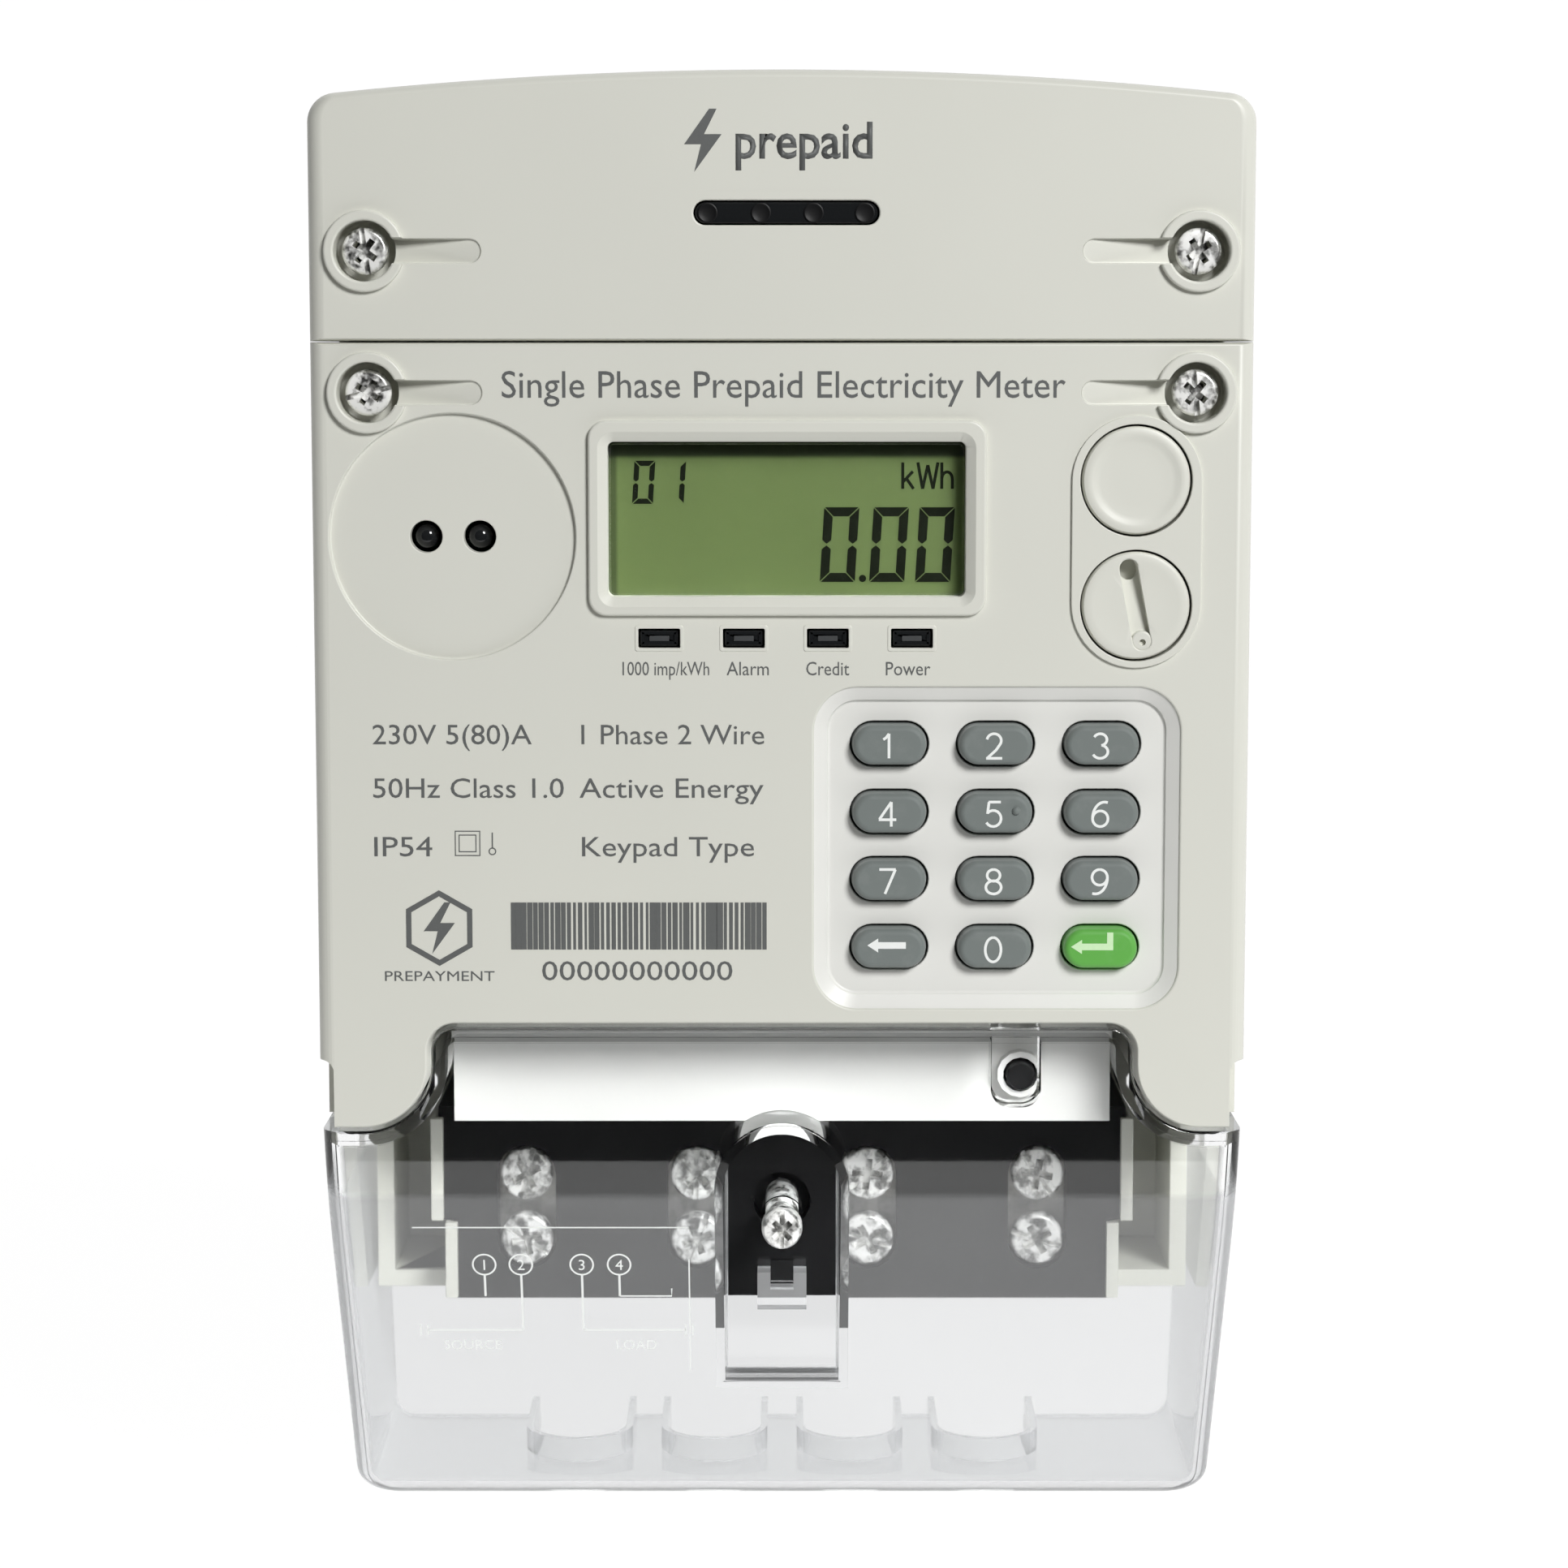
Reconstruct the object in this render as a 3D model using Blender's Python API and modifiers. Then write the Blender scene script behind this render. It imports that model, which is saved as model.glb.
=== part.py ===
"""Single-phase keypad electricity meter for a wall.

Metres. X runs to the right seen from the front, Y from the front to the wall, and Z up.
The origin is on the back face, on the centre line at mid-height.
"""

import math

import bmesh
import bpy
from mathutils import Matrix, Vector

# Case
HALF_WIDTH = 0.0640
FRONT = -0.0600
SPLIT = -0.0240              # where the covers meet the base
CROWN = 0.10185              # top of the arched upper edge
CROWN_RADIUS = 0.5900
CROWN_CORNER = 0.0040
SEAM = 0.06545               # between the module cover and the front cover
SHOULDER = -0.0428           # lower edge of the front cover beside the tongue
TONGUE_TOP = -0.0282         # edge of the front cover above the tongue
TONGUE_HALF = 0.0488
SHOULDER_ROUND = 0.0091
TONGUE_ROUND = 0.0037
WALL = 0.0025
FRONT_WALL = 0.0032
BACK_WALL = -0.0025          # inner face of the base's back
POST_ROOT = -0.0020          # posts are sunk this deep into the back
GAP = 0.0003
COVER_GAP = 0.00035
PROUD = 0.0009               # how far bezels and bosses stand out of the front
EPS = 0.0010                 # how far a cutter runs past a face
DRAFT = 0.0001               # slope of a moulded step
THROUGH = FRONT + 2 * FRONT_WALL

# Clear cover
COVER_BOTTOM = -0.1018
COVER_TOP_HALF = 0.06375
COVER_BOTTOM_HALF = 0.0616
COVER_WALL = 0.0020
COVER_CORNER = 0.0055
COVER_KNEE = -0.0520         # where the cover's front starts to slope back
COVER_KNEE_ROUND = 0.0150
COVER_TOE = -0.0400          # depth of the cover's front at its bottom edge
COVER_OPEN = -0.0180         # its side outline runs on above the tongue and behind the wall
COVER_BEHIND = 0.0040
COVER_SCREW_Z = -0.0595
COVER_SCREW_HOLE = 0.0031
CHANNEL_CENTRE = -0.05165
CHANNEL_HALF = 0.0094
CHANNEL_WALL = 0.0014
CHANNEL_END = -0.0830
CHANNEL_FLOOR = -0.0420
SEAL_LUG = (0.0035, -0.0460, -0.0719, -0.0665)       # half width, front, low z, high z
SEAL_EYE = (0.00165, -0.0470, -0.0690, -0.0657)
TONGUE_ROOM = (-0.0485, -0.0450, -0.0270)            # front, low z, high z
BASE_ROOM = (0.0611, -0.0480, -0.0300)               # half width, low z, high z
MOUTH_X = (-0.0305, -0.0102, 0.0102, 0.0305)
MOUTH_RADIUS = 0.0070
MOUTH_Y = -0.0170

# Base
BASE_BOTTOM = -0.0735
BASE_FOOT_HALF = 0.0599
BLOCK_PLAY = 0.0006
BOARD_POSTS = ((0.0540, -0.0200), (0.0540, 0.0440))
BOARD_POST_RADIUS = 0.0030
WALL_HOLE = (0.0546, -0.0464)
WALL_HOLE_RADIUS = 0.0021
HOOK_PAD = (-0.0140, 0.0140, 0.0600, 0.1000)         # low x, high x, low z, high z
HOOK_PAD_FRONT = -0.0062
HOOK_GUIDE = (-0.0104, 0.0104, 0.0635, 0.1060)
HOOK_GUIDE_FLOOR = -0.0028
HOOK = (-0.0100, 0.0100, 0.0640, 0.0985)
HOOK_FRONT = -0.0024
HOOK_BACK = -0.0004
HOOK_CORNER = 0.0025
HOOK_EYE_Z = 0.0915
HOOK_EYE_RADIUS = 0.0032
HOOK_SLIT_HALF = 0.0016
HOOK_SLIT_LOW = 0.0800

# Terminals
BLOCK_FRONT = -0.0300
BLOCK_BACK = -0.0030
BLOCK_TOP = -0.0455
BLOCK_STEP = -0.0622
BLOCK_BOTTOM = -0.07376
BLOCK_UPPER_HALF = 0.0502
BLOCK_LOWER_HALF = 0.0482
TERMINAL_X = (-0.0374, -0.0125, 0.0125, 0.0374)
TERMINAL_SCREW_Z = {"upper": -0.0556, "lower": -0.0651}
TERMINAL_FRONT = -0.0240
TERMINAL_BACK = -0.0085
TERMINAL_HALF = 0.0052
TERMINAL_TOP = -0.0500
TERMINAL_FOOT = -0.0706
SCREW_OPENING = 0.0086
WIRE_ENTRY = 0.0044
WIRE_BORE = 0.0039
WIRE_Y = -0.0155
THREAD_HOLE = 0.0026
WELL_RADIUS = 0.0042
WELL_FLOOR = -0.0262
WELL_THREAD = 0.0021
WELL_END = -0.0100

# Cover switch
SHROUD = (-0.0463, 0.0463, -0.04395, TONGUE_TOP - 2 * GAP)
SHROUD_FRONT = -0.0480
SHROUD_BACK = -0.0270
SHROUD_WALL = 0.0018
SWITCH = (0.0334, -0.0365)
SWITCH_BOSS_RADIUS = 0.0033
SWITCH_BOSS_FRONT = -0.0500
SWITCH_HOLE_RADIUS = 0.0024

# Screw seats
MODULE_SCREW = (0.0563, 0.0776)
COVER_SCREW = (0.0561, 0.0586)
BOSS_RADIUS = 0.0055
POCKET_RADIUS = 0.0041
POCKET_FLOOR = -0.0552
SEAT_BACK = -0.0532
SHANK_HOLE = 0.0018
SLOT_INNER = 0.0422
SLOT_HALF = 0.00165
SLOT_FLOOR = -0.0584
POST_RADIUS = 0.0034
POST_TOP = -0.0528
POST_HOLE_END = -0.0400

# Face
PORT = (-0.04486, 0.0391)
PORT_RADIUS = 0.01675
PORT_DEPTH = 0.0009
PORT_HOLES = {"ir_emitter": -0.0484, "ir_receiver": -0.0411}
PORT_HOLE_RADIUS = 0.0022
BEZEL = (-0.0263, 0.0278, 0.0284, 0.0549)            # low x, high x, low z, high z
BEZEL_CORNER = 0.0025
WINDOW = (-0.02366, 0.02499, 0.03095, 0.05198)
WINDOW_CORNER = 0.0008
PANE_FRONT = -0.0594
PANE_BACK = -0.0582
GLASS = (-0.02666, 0.02799, 0.02875, 0.05498)
GLASS_FRONT = -0.0564
GLASS_BACK = -0.0542
LAMP_X = {"pulse": -0.01672, "alarm": -0.00519, "credit": 0.00627, "power": 0.01773}
LAMP_Z = 0.02528
LAMP_SIZE = (0.0057, 0.00266)
LAMP_FRONT = -0.0596
LAMP_BACK = -0.0560
DISPLAY_BUTTON = (0.0481, 0.04675)
SERVICE_BUTTON = (0.0482, 0.02977)
BUTTON_RADIUS = 0.0073
BUTTON_HOLE = 0.0077
STEM_RADIUS = 0.0030
SOCKET_RADIUS = 0.0033
SOCKET_FRONT = -0.0580
SERVICE_SLOT = (0.0125, 0.0025)
SERVICE_SLOT_FLOOR = -0.0588
SERVICE_SLOT_TILT = math.radians(10.4)
KEYPAD = (0.0054, 0.0535, -0.0252, 0.0175)
KEYPAD_CORNER = 0.0052
KEYPAD_FLOOR = -0.0582
KEY_X = (0.01475, 0.0293, 0.04386)
KEY_Z = (0.01066, 0.00126, -0.00806, -0.0175)
KEY_NAMES = (("1", "2", "3"), ("4", "5", "6"), ("7", "8", "9"), ("back", "0", "enter"))
KEY_SIZE = (0.0105, 0.0059)
KEY_FRONT = -0.0604
KEY_FLANGE = 0.0009
KEY_FLANGE_FRONT = -0.0563
KEY_FLANGE_BACK = -0.0556
KEY_PILL_RADIUS = 0.0017
KEY_PILL_BACK = -0.0526
MODULE_WINDOW = (0.00063, 0.0827, 0.0251, 0.0033)
MODULE_WINDOW_FRONT = -0.0595
MODULE_WINDOW_BACK = -0.0564

# Inside
BOARD_FRONT = -0.0508
BOARD_BACK = -0.0492
BOARD_HALF = 0.0585
BOARD_NECK_HALF = 0.0500
BOARD_LOW = -0.0240
BOARD_SHOULDER = 0.0520
BOARD_HIGH = 0.0615
MODULE_BOARD = (-0.0480, 0.0480, 0.0700, 0.0940)
MODULE_BOARD_FRONT = -0.0466
MODULE_BOARD_BACK = -0.0450
MAT = (0.0050, 0.0540, -0.0235, 0.0165)
MAT_FRONT = -0.0538
MAT_BACK = -0.0530
MAT_HOLE_RADIUS = 0.0022
SWITCH_HALF = 0.0030
SWITCH_FRONT = -0.0535
RELAY_LOW = (0.0080, -0.0260, -0.0245)
RELAY_HIGH = (0.0430, BACK_WALL - GAP, 0.0060)
TRANSFORMER_LOW = (-0.0450, -0.0290, -0.0050)
TRANSFORMER_HIGH = (-0.0150, BACK_WALL - GAP, 0.0210)
SHUNT = (-0.0400, -0.0100, -0.0230, -0.0330)         # low x, high x, high z, low z
SHUNT_LEG = 0.0060
SHUNT_BAR = 0.0040
SHUNT_FRONT = -0.0180
SHUNT_BACK = -0.0160
BATTERY = (0.0180, -0.0102, 0.0360)
BATTERY_RADIUS = 0.0072
BATTERY_LENGTH = 0.0250

ARC_STEPS = 4
ROUND_SIDES = 20
HOLE_SIDES = 14
FINE_SIDES = 12
MERGE = 0.00001

parts = None
cutters = None
finishes = {}


# ---- Materials

COLOURS = {
    "light_grey_plastic": ((0.665, 0.661, 0.604), 0.42, 0.0),
    "white_plastic": ((0.84, 0.84, 0.82), 0.40, 0.0),
    "clear_plastic": ((0.92, 0.94, 0.95), 0.08, 0.0),
    "black_plastic": ((0.015, 0.015, 0.016), 0.45, 0.0),
    "smoked_plastic": ((0.02, 0.02, 0.022), 0.15, 0.0),
    "grey_rubber": ((0.16, 0.185, 0.18), 0.60, 0.0),
    "green_rubber": ((0.09, 0.38, 0.05), 0.55, 0.0),
    "lcd_green": ((0.15, 0.22, 0.075), 0.20, 0.0),
    "circuit_board": ((0.02, 0.16, 0.06), 0.45, 0.0),
    "zinc_steel": ((0.72, 0.72, 0.70), 0.28, 1.0),
    "tinned_brass": ((0.70, 0.68, 0.60), 0.32, 1.0),
    "copper": ((0.72, 0.36, 0.20), 0.35, 1.0),
}


def finish(name):
    """The Principled material of one finish, made once."""
    if name not in finishes:
        colour, roughness, metallic = COLOURS[name]
        made = bpy.data.materials.new(name)
        made.use_nodes = True
        shader = made.node_tree.nodes["Principled BSDF"]
        shader.inputs["Base Color"].default_value = (*colour, 1.0)
        shader.inputs["Roughness"].default_value = roughness
        shader.inputs["Metallic"].default_value = metallic
        finishes[name] = made
    return finishes[name]


# ---- Outlines, as lists of points

def arc(centre, radius, start, end, steps=ARC_STEPS):
    """Points from one angle to another, in degrees, both included."""
    angles = [math.radians(start + (end - start) * i / steps) for i in range(steps + 1)]
    return [(centre[0] + radius * math.cos(a), centre[1] + radius * math.sin(a)) for a in angles]


def rounded(corners, steps=ARC_STEPS):
    """A closed outline through (x, z, radius) corners, each rounded by its radius."""
    points = []
    for i, (x, z, radius) in enumerate(corners):
        here = Vector((x, z))
        before = (Vector(corners[i - 1][:2]) - here).normalized()
        after = (Vector(corners[(i + 1) % len(corners)][:2]) - here).normalized()
        if radius == 0:
            points.append((x, z))
            continue
        half = before.angle(after) / 2
        middle = here + (before + after).normalized() * radius / math.sin(half)
        first = here + before * radius / math.tan(half) - middle
        last = here + after * radius / math.tan(half) - middle
        start = math.degrees(math.atan2(first.y, first.x))
        sweep = math.degrees(math.atan2(last.y, last.x)) - start
        sweep = (sweep + 180) % 360 - 180
        points += arc(middle, radius, start, start + sweep, steps)
    return points


def inset(outline, distance):
    """The outline moved inwards by a distance."""
    count = len(outline)
    area = sum(
        outline[i - 1][0] * outline[i][1] - outline[i][0] * outline[i - 1][1] for i in range(count)
    )
    turn = 1 if area > 0 else -1
    moved = []
    for i in range(count):
        here = Vector(outline[i])
        back = (here - Vector(outline[i - 1])).normalized()
        ahead = (Vector(outline[(i + 1) % count]) - here).normalized()
        left_back = Vector((-back.y, back.x)) * turn
        left_ahead = Vector((-ahead.y, ahead.x)) * turn
        step = (left_back + left_ahead) / (1 + left_back.dot(left_ahead))
        moved.append(tuple(here + step * distance))
    return moved


def rounded_box(low_x, high_x, low_z, high_z, radius, steps=ARC_STEPS):
    corners = ((low_x, low_z), (high_x, low_z), (high_x, high_z), (low_x, high_z))
    return rounded([(x, z, radius) for x, z in corners], steps)


def pill(x, z, length, height, steps=ARC_STEPS):
    """An outline with round ends, longer along X."""
    half = height / 2
    reach = length / 2 - half
    right = arc((x + reach, z), half, -90, 90, 2 * steps)
    left = arc((x - reach, z), half, 90, 270, 2 * steps)
    return right + left


def both_sides(place):
    return ((-place[0], place[1]), place)


def crown_edge():
    """The arched upper edge of the case, from the right side to the left."""
    centre_z = CROWN - CROWN_RADIUS
    corner_x = HALF_WIDTH - CROWN_CORNER
    corner_z = centre_z + math.sqrt((CROWN_RADIUS - CROWN_CORNER) ** 2 - corner_x**2)
    lean = math.degrees(math.asin(corner_x / (CROWN_RADIUS - CROWN_CORNER)))
    right = arc((corner_x, corner_z), CROWN_CORNER, 0, 90 - lean)
    top = arc((0, centre_z), CROWN_RADIUS, 90 - lean, 90 + lean, 10)
    left = arc((-corner_x, corner_z), CROWN_CORNER, 90 + lean, 180)
    return right + top[1:-1] + left


# ---- Solids

def adopt(obj, collection, material=None):
    collection.objects.link(obj)
    if material:
        obj.data.materials.append(finish(material))
    return obj


def evaluated_mesh(obj):
    """The mesh of an object with its modifiers applied."""
    bpy.context.view_layer.update()
    graph = bpy.context.evaluated_depsgraph_get()
    return bpy.data.meshes.new_from_object(obj.evaluated_get(graph), depsgraph=graph)


def slab(name, outlines, low, high, material=None, facing="front", at=(0, 0)):
    """Flat outlines given a thickness from low to high. A front slab is drawn in X and Z and
    thickened in Y, a floor slab in X and Y along Z, and a side slab in Y and Z along X."""
    curve = bpy.data.curves.new(name, "CURVE")
    curve.dimensions = "2D"
    curve.fill_mode = "BOTH"
    curve.extrude = (high - low) / 2
    for outline in outlines:
        spline = curve.splines.new("POLY")
        spline.points.add(len(outline) - 1)
        for point, (across, up) in zip(spline.points, outline):
            point.co = (across, up, 0, 1)
        spline.use_cyclic_u = True
    drawn = bpy.data.objects.new(name + ".outline", curve)
    middle = (low + high) / 2
    if facing == "front":
        turn = Matrix.Rotation(math.pi / 2, 4, "X")
        drawn.matrix_world = Matrix.Translation((at[0], middle, at[1])) @ turn
    elif facing == "floor":
        drawn.matrix_world = Matrix.Translation((at[0], at[1], middle))
    else:
        turn = Matrix(((0, 0, 1, 0), (1, 0, 0, 0), (0, 1, 0, 0), (0, 0, 0, 1)))
        drawn.matrix_world = Matrix.Translation((middle, at[0], at[1])) @ turn
    parts.objects.link(drawn)
    mesh = evaluated_mesh(drawn)
    mesh.name = name
    weld(mesh)
    made = bpy.data.objects.new(name, mesh)
    made.matrix_world = drawn.matrix_world
    bpy.data.objects.remove(drawn)
    bpy.data.curves.remove(curve)
    return adopt(made, parts, material)


def weld(mesh):
    """Joins a filled curve's loose caps to its sides and drops the lines between flat faces."""
    work = bmesh.new()
    work.from_mesh(mesh)
    bmesh.ops.remove_doubles(work, verts=work.verts, dist=MERGE)
    bmesh.ops.dissolve_limit(work, angle_limit=math.radians(0.1), verts=work.verts, edges=work.edges)
    work.to_mesh(mesh)
    work.free()


def block(name, low, high, material=None):
    """A box between two corners, with its origin at its middle."""
    low = Vector(low)
    high = Vector(high)
    work = bmesh.new()
    bmesh.ops.create_cube(work, size=1, matrix=Matrix.Diagonal((*(high - low), 1)))
    return from_bmesh(name, work, (low + high) / 2, material)


def drum(name, x, z, radius, front, back, material=None, sides=HOLE_SIDES):
    """A round bar along Y."""
    work = bmesh.new()
    bmesh.ops.create_cone(
        work,
        cap_ends=True,
        segments=sides,
        radius1=radius,
        radius2=radius,
        depth=back - front,
        matrix=Matrix.Rotation(math.pi / 2, 4, "X"),
    )
    return from_bmesh(name, work, (x, (front + back) / 2, z), material)


def bore(name, x, y, low, high, radius):
    """A round bar along Z."""
    work = bmesh.new()
    bmesh.ops.create_cone(
        work, cap_ends=True, segments=HOLE_SIDES, radius1=radius, radius2=radius, depth=high - low
    )
    return from_bmesh(name, work, (x, y, (low + high) / 2), None)


def from_bmesh(name, work, place, material):
    mesh = bpy.data.meshes.new(name)
    work.to_mesh(mesh)
    work.free()
    made = bpy.data.objects.new(name, mesh)
    made.location = place
    return adopt(made, parts, material)


def turned(name, x, z, profile, material, sides=ROUND_SIDES):
    """A body of revolution about a line in depth. Its profile runs from the front to the back as
    (radius, y), and its origin is on the line at y = 0."""
    mesh = bpy.data.meshes.new(name)
    points = [(radius, 0, -y) for radius, y in profile]
    mesh.from_pydata(points, [(i, i + 1) for i in range(len(points) - 1)], [])
    made = bpy.data.objects.new(name, mesh)
    made.location = (x, 0, z)
    made.rotation_euler.x = math.pi / 2
    screw = made.modifiers.new("Turn", "SCREW")
    screw.steps = sides
    screw.render_steps = sides
    screw.use_merge_vertices = True
    screw.merge_threshold = MERGE
    return adopt(made, parts, material)


def combine(target, tools, operation):
    """Cuts, joins or crosses the target with each tool, which becomes a hidden cutter."""
    for tool in tools:
        parts.objects.unlink(tool)
        cutters.objects.link(tool)
        tool.hide_render = True
        tool.display_type = "WIRE"
        modifier = target.modifiers.new(tool.name, "BOOLEAN")
        modifier.operation = operation
        modifier.solver = "EXACT"
        modifier.object = tool
    return target


def cut(target, *tools):
    return combine(target, tools, "DIFFERENCE")


def join(target, *tools):
    return combine(target, tools, "UNION")


def copies(source, names, places):
    """Objects that share the source's finished mesh, each at its own place. The source goes."""
    mesh = evaluated_mesh(source)
    material = source.data.materials[0]
    turn = source.rotation_euler.copy()
    depth = source.location.y
    tools = [m.object for m in source.modifiers if m.type == "BOOLEAN"]
    for obj in (source, *tools):
        bpy.data.objects.remove(obj)
    made = []
    for name, (x, z) in zip(names, places):
        obj = bpy.data.objects.new(name, mesh)
        obj.location = (x, depth, z)
        obj.rotation_euler = turn
        parts.objects.link(obj)
        made.append(obj)
    if not mesh.materials:
        mesh.materials.append(material)
    return made


# ---- Case

def base_case():
    step = SHOULDER - DRAFT
    outline = [(-BASE_FOOT_HALF, BASE_BOTTOM), (BASE_FOOT_HALF, BASE_BOTTOM), (BASE_FOOT_HALF, step)]
    outline += [(HALF_WIDTH, SHOULDER), *crown_edge(), (-HALF_WIDTH, SHOULDER), (-BASE_FOOT_HALF, step)]
    base = slab("base_case", [outline], SPLIT, 0, "light_grey_plastic")
    cut(base, slab("base_hollow", [inset(outline, WALL)], SPLIT - EPS, BACK_WALL))
    block_half = BLOCK_LOWER_HALF + BLOCK_PLAY
    mouth_low = (-block_half, SPLIT - EPS, BASE_BOTTOM - EPS)
    mouth_high = (block_half, BLOCK_BACK + GAP, BASE_BOTTOM + 2 * WALL)
    cut(base, block("block_mouth", mouth_low, mouth_high))
    for number, (x, z) in enumerate(both_sides(MODULE_SCREW) + both_sides(COVER_SCREW)):
        join(base, drum(f"screw_post_{number}", x, z, POST_RADIUS, POST_TOP, POST_ROOT))
        name = f"post_hole_{number}"
        cut(base, drum(name, x, z, SHANK_HOLE, POCKET_FLOOR, POST_HOLE_END, sides=FINE_SIDES))
    for number, place in enumerate(BOARD_POSTS):
        for x, z in both_sides(place):
            name = f"board_post_{number}_{x:.3f}"
            join(base, drum(name, x, z, BOARD_POST_RADIUS, BOARD_BACK + GAP, POST_ROOT, sides=FINE_SIDES))
    for number, (x, z) in enumerate(both_sides(WALL_HOLE)):
        cut(base, drum(f"wall_hole_{number}", x, z, WALL_HOLE_RADIUS, BACK_WALL - EPS, EPS))
    join(base, slab("hook_pad", [rounded_box(*HOOK_PAD, 0.0010)], HOOK_PAD_FRONT, POST_ROOT))
    cut(base, slab("hook_guide", [rounded_box(*HOOK_GUIDE, 0)], HOOK_GUIDE_FLOOR, EPS))
    return base


def hanging_hook():
    """The plate that slides up out of the back of the base and hangs on a screw."""
    eye = arc((0, HOOK_EYE_Z), HOOK_EYE_RADIUS, -60, 240, 12)
    eye += [(-HOOK_SLIT_HALF, HOOK_SLIT_LOW), (HOOK_SLIT_HALF, HOOK_SLIT_LOW)]
    plate = rounded_box(*HOOK, HOOK_CORNER)
    return slab("hanging_hook", [plate, eye], HOOK_FRONT, HOOK_BACK, "light_grey_plastic")


def front_outline():
    corners = [
        (-HALF_WIDTH, SHOULDER, 0),
        (-TONGUE_HALF, SHOULDER, SHOULDER_ROUND),
        (-TONGUE_HALF, TONGUE_TOP, TONGUE_ROUND),
        (TONGUE_HALF, TONGUE_TOP, TONGUE_ROUND),
        (TONGUE_HALF, SHOULDER, SHOULDER_ROUND),
        (HALF_WIDTH, SHOULDER, 0),
        (HALF_WIDTH, SEAM - GAP, 0),
        (-HALF_WIDTH, SEAM - GAP, 0),
    ]
    return rounded(corners)


def screw_seats(cover, label, place):
    """A raised ring, a pocket for the screw head, its hole, and the slot for the sealing wire."""
    for side, (x, z) in zip(("left", "right"), both_sides(place)):
        name = f"{label}_{side}"
        inner = math.copysign(SLOT_INNER, x)
        slot = pill((inner + x) / 2, z, abs(x - inner) + 2 * SLOT_HALF, 2 * SLOT_HALF)
        join(cover, drum(name + "_ring", x, z, BOSS_RADIUS, FRONT - PROUD, SEAT_BACK, sides=ROUND_SIDES))
        mouth = FRONT - 2 * EPS
        cut(cover, drum(name + "_pocket", x, z, POCKET_RADIUS, mouth, POCKET_FLOOR, sides=ROUND_SIDES))
        cut(cover, drum(name + "_hole", x, z, SHANK_HOLE, FRONT, SEAT_BACK + EPS, sides=FINE_SIDES))
        cut(cover, slab(name + "_wire_slot", [slot], FRONT - EPS, SLOT_FLOOR))


def front_cover():
    outline = front_outline()
    cover = slab("front_cover", [outline], FRONT, SPLIT - GAP, "light_grey_plastic")
    cut(cover, slab("front_hollow", [inset(outline, WALL)], FRONT + FRONT_WALL, SPLIT + EPS))
    join(cover, slab("bezel", [rounded_box(*BEZEL, BEZEL_CORNER)], FRONT - PROUD, FRONT + EPS))
    screw_seats(cover, "cover_seat", COVER_SCREW)
    cut(cover, slab("window_hole", [rounded_box(*WINDOW, WINDOW_CORNER, 2)], FRONT - 2 * EPS, THROUGH))
    cut(cover, drum("port_recess", *PORT, PORT_RADIUS, FRONT - EPS, FRONT + PORT_DEPTH, sides=32))
    eyes = [arc((x, PORT[1]), PORT_HOLE_RADIUS, 0, 330, 11) for x in PORT_HOLES.values()]
    cut(cover, slab("port_eyes", eyes, FRONT - EPS, THROUGH))
    lamp_x = LAMP_SIZE[0] / 2
    lamp_z = LAMP_SIZE[1] / 2
    low_z, high_z = LAMP_Z - lamp_z, LAMP_Z + lamp_z
    slots = [rounded_box(x - lamp_x, x + lamp_x, low_z, high_z, 0) for x in LAMP_X.values()]
    cut(cover, slab("lamp_holes", slots, FRONT - EPS, THROUGH))
    for name, place in (("display_hole", DISPLAY_BUTTON), ("service_hole", SERVICE_BUTTON)):
        cut(cover, drum(name, *place, BUTTON_HOLE, FRONT - EPS, THROUGH, sides=ROUND_SIDES))
    cut(cover, slab("keypad_recess", [rounded_box(*KEYPAD, KEYPAD_CORNER)], FRONT - EPS, KEYPAD_FLOOR))
    holes = [pill(x, z, KEY_SIZE[0] + 2 * GAP, KEY_SIZE[1] + 2 * GAP, 3) for z in KEY_Z for x in KEY_X]
    cut(cover, slab("key_holes", holes, FRONT, THROUGH))
    return cover


def module_cover():
    """The cover of the communication module above the seam. It comes off forwards."""
    outline = [(-HALF_WIDTH, SEAM + GAP), (HALF_WIDTH, SEAM + GAP), *crown_edge()]
    cover = slab("module_cover", [outline], FRONT, SPLIT - GAP, "light_grey_plastic")
    cut(cover, slab("module_hollow", [inset(outline, WALL)], FRONT + FRONT_WALL, SPLIT + EPS))
    screw_seats(cover, "module_seat", MODULE_SCREW)
    cut(cover, slab("module_window_hole", [pill(*MODULE_WINDOW)], FRONT - EPS, THROUGH))
    return cover


def seal_screws():
    """Four captive screws, headed in their pockets and threaded into the base's posts."""
    under_head = POCKET_FLOOR - GAP
    head = [(0, -0.0592), (0.0026, -0.0592), (0.0032, -0.0585), (0.0032, under_head)]
    shank = [(0.0015, under_head), (0.0015, -0.0420), (0, -0.0412)]
    source = turned("screw_source", 0, 0, head + shank, "zinc_steel", FINE_SIDES)
    names = ("module_screw_left", "module_screw_right", "cover_screw_left", "cover_screw_right")
    return copies(source, names, both_sides(MODULE_SCREW) + both_sides(COVER_SCREW))


# ---- Cover switch

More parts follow.
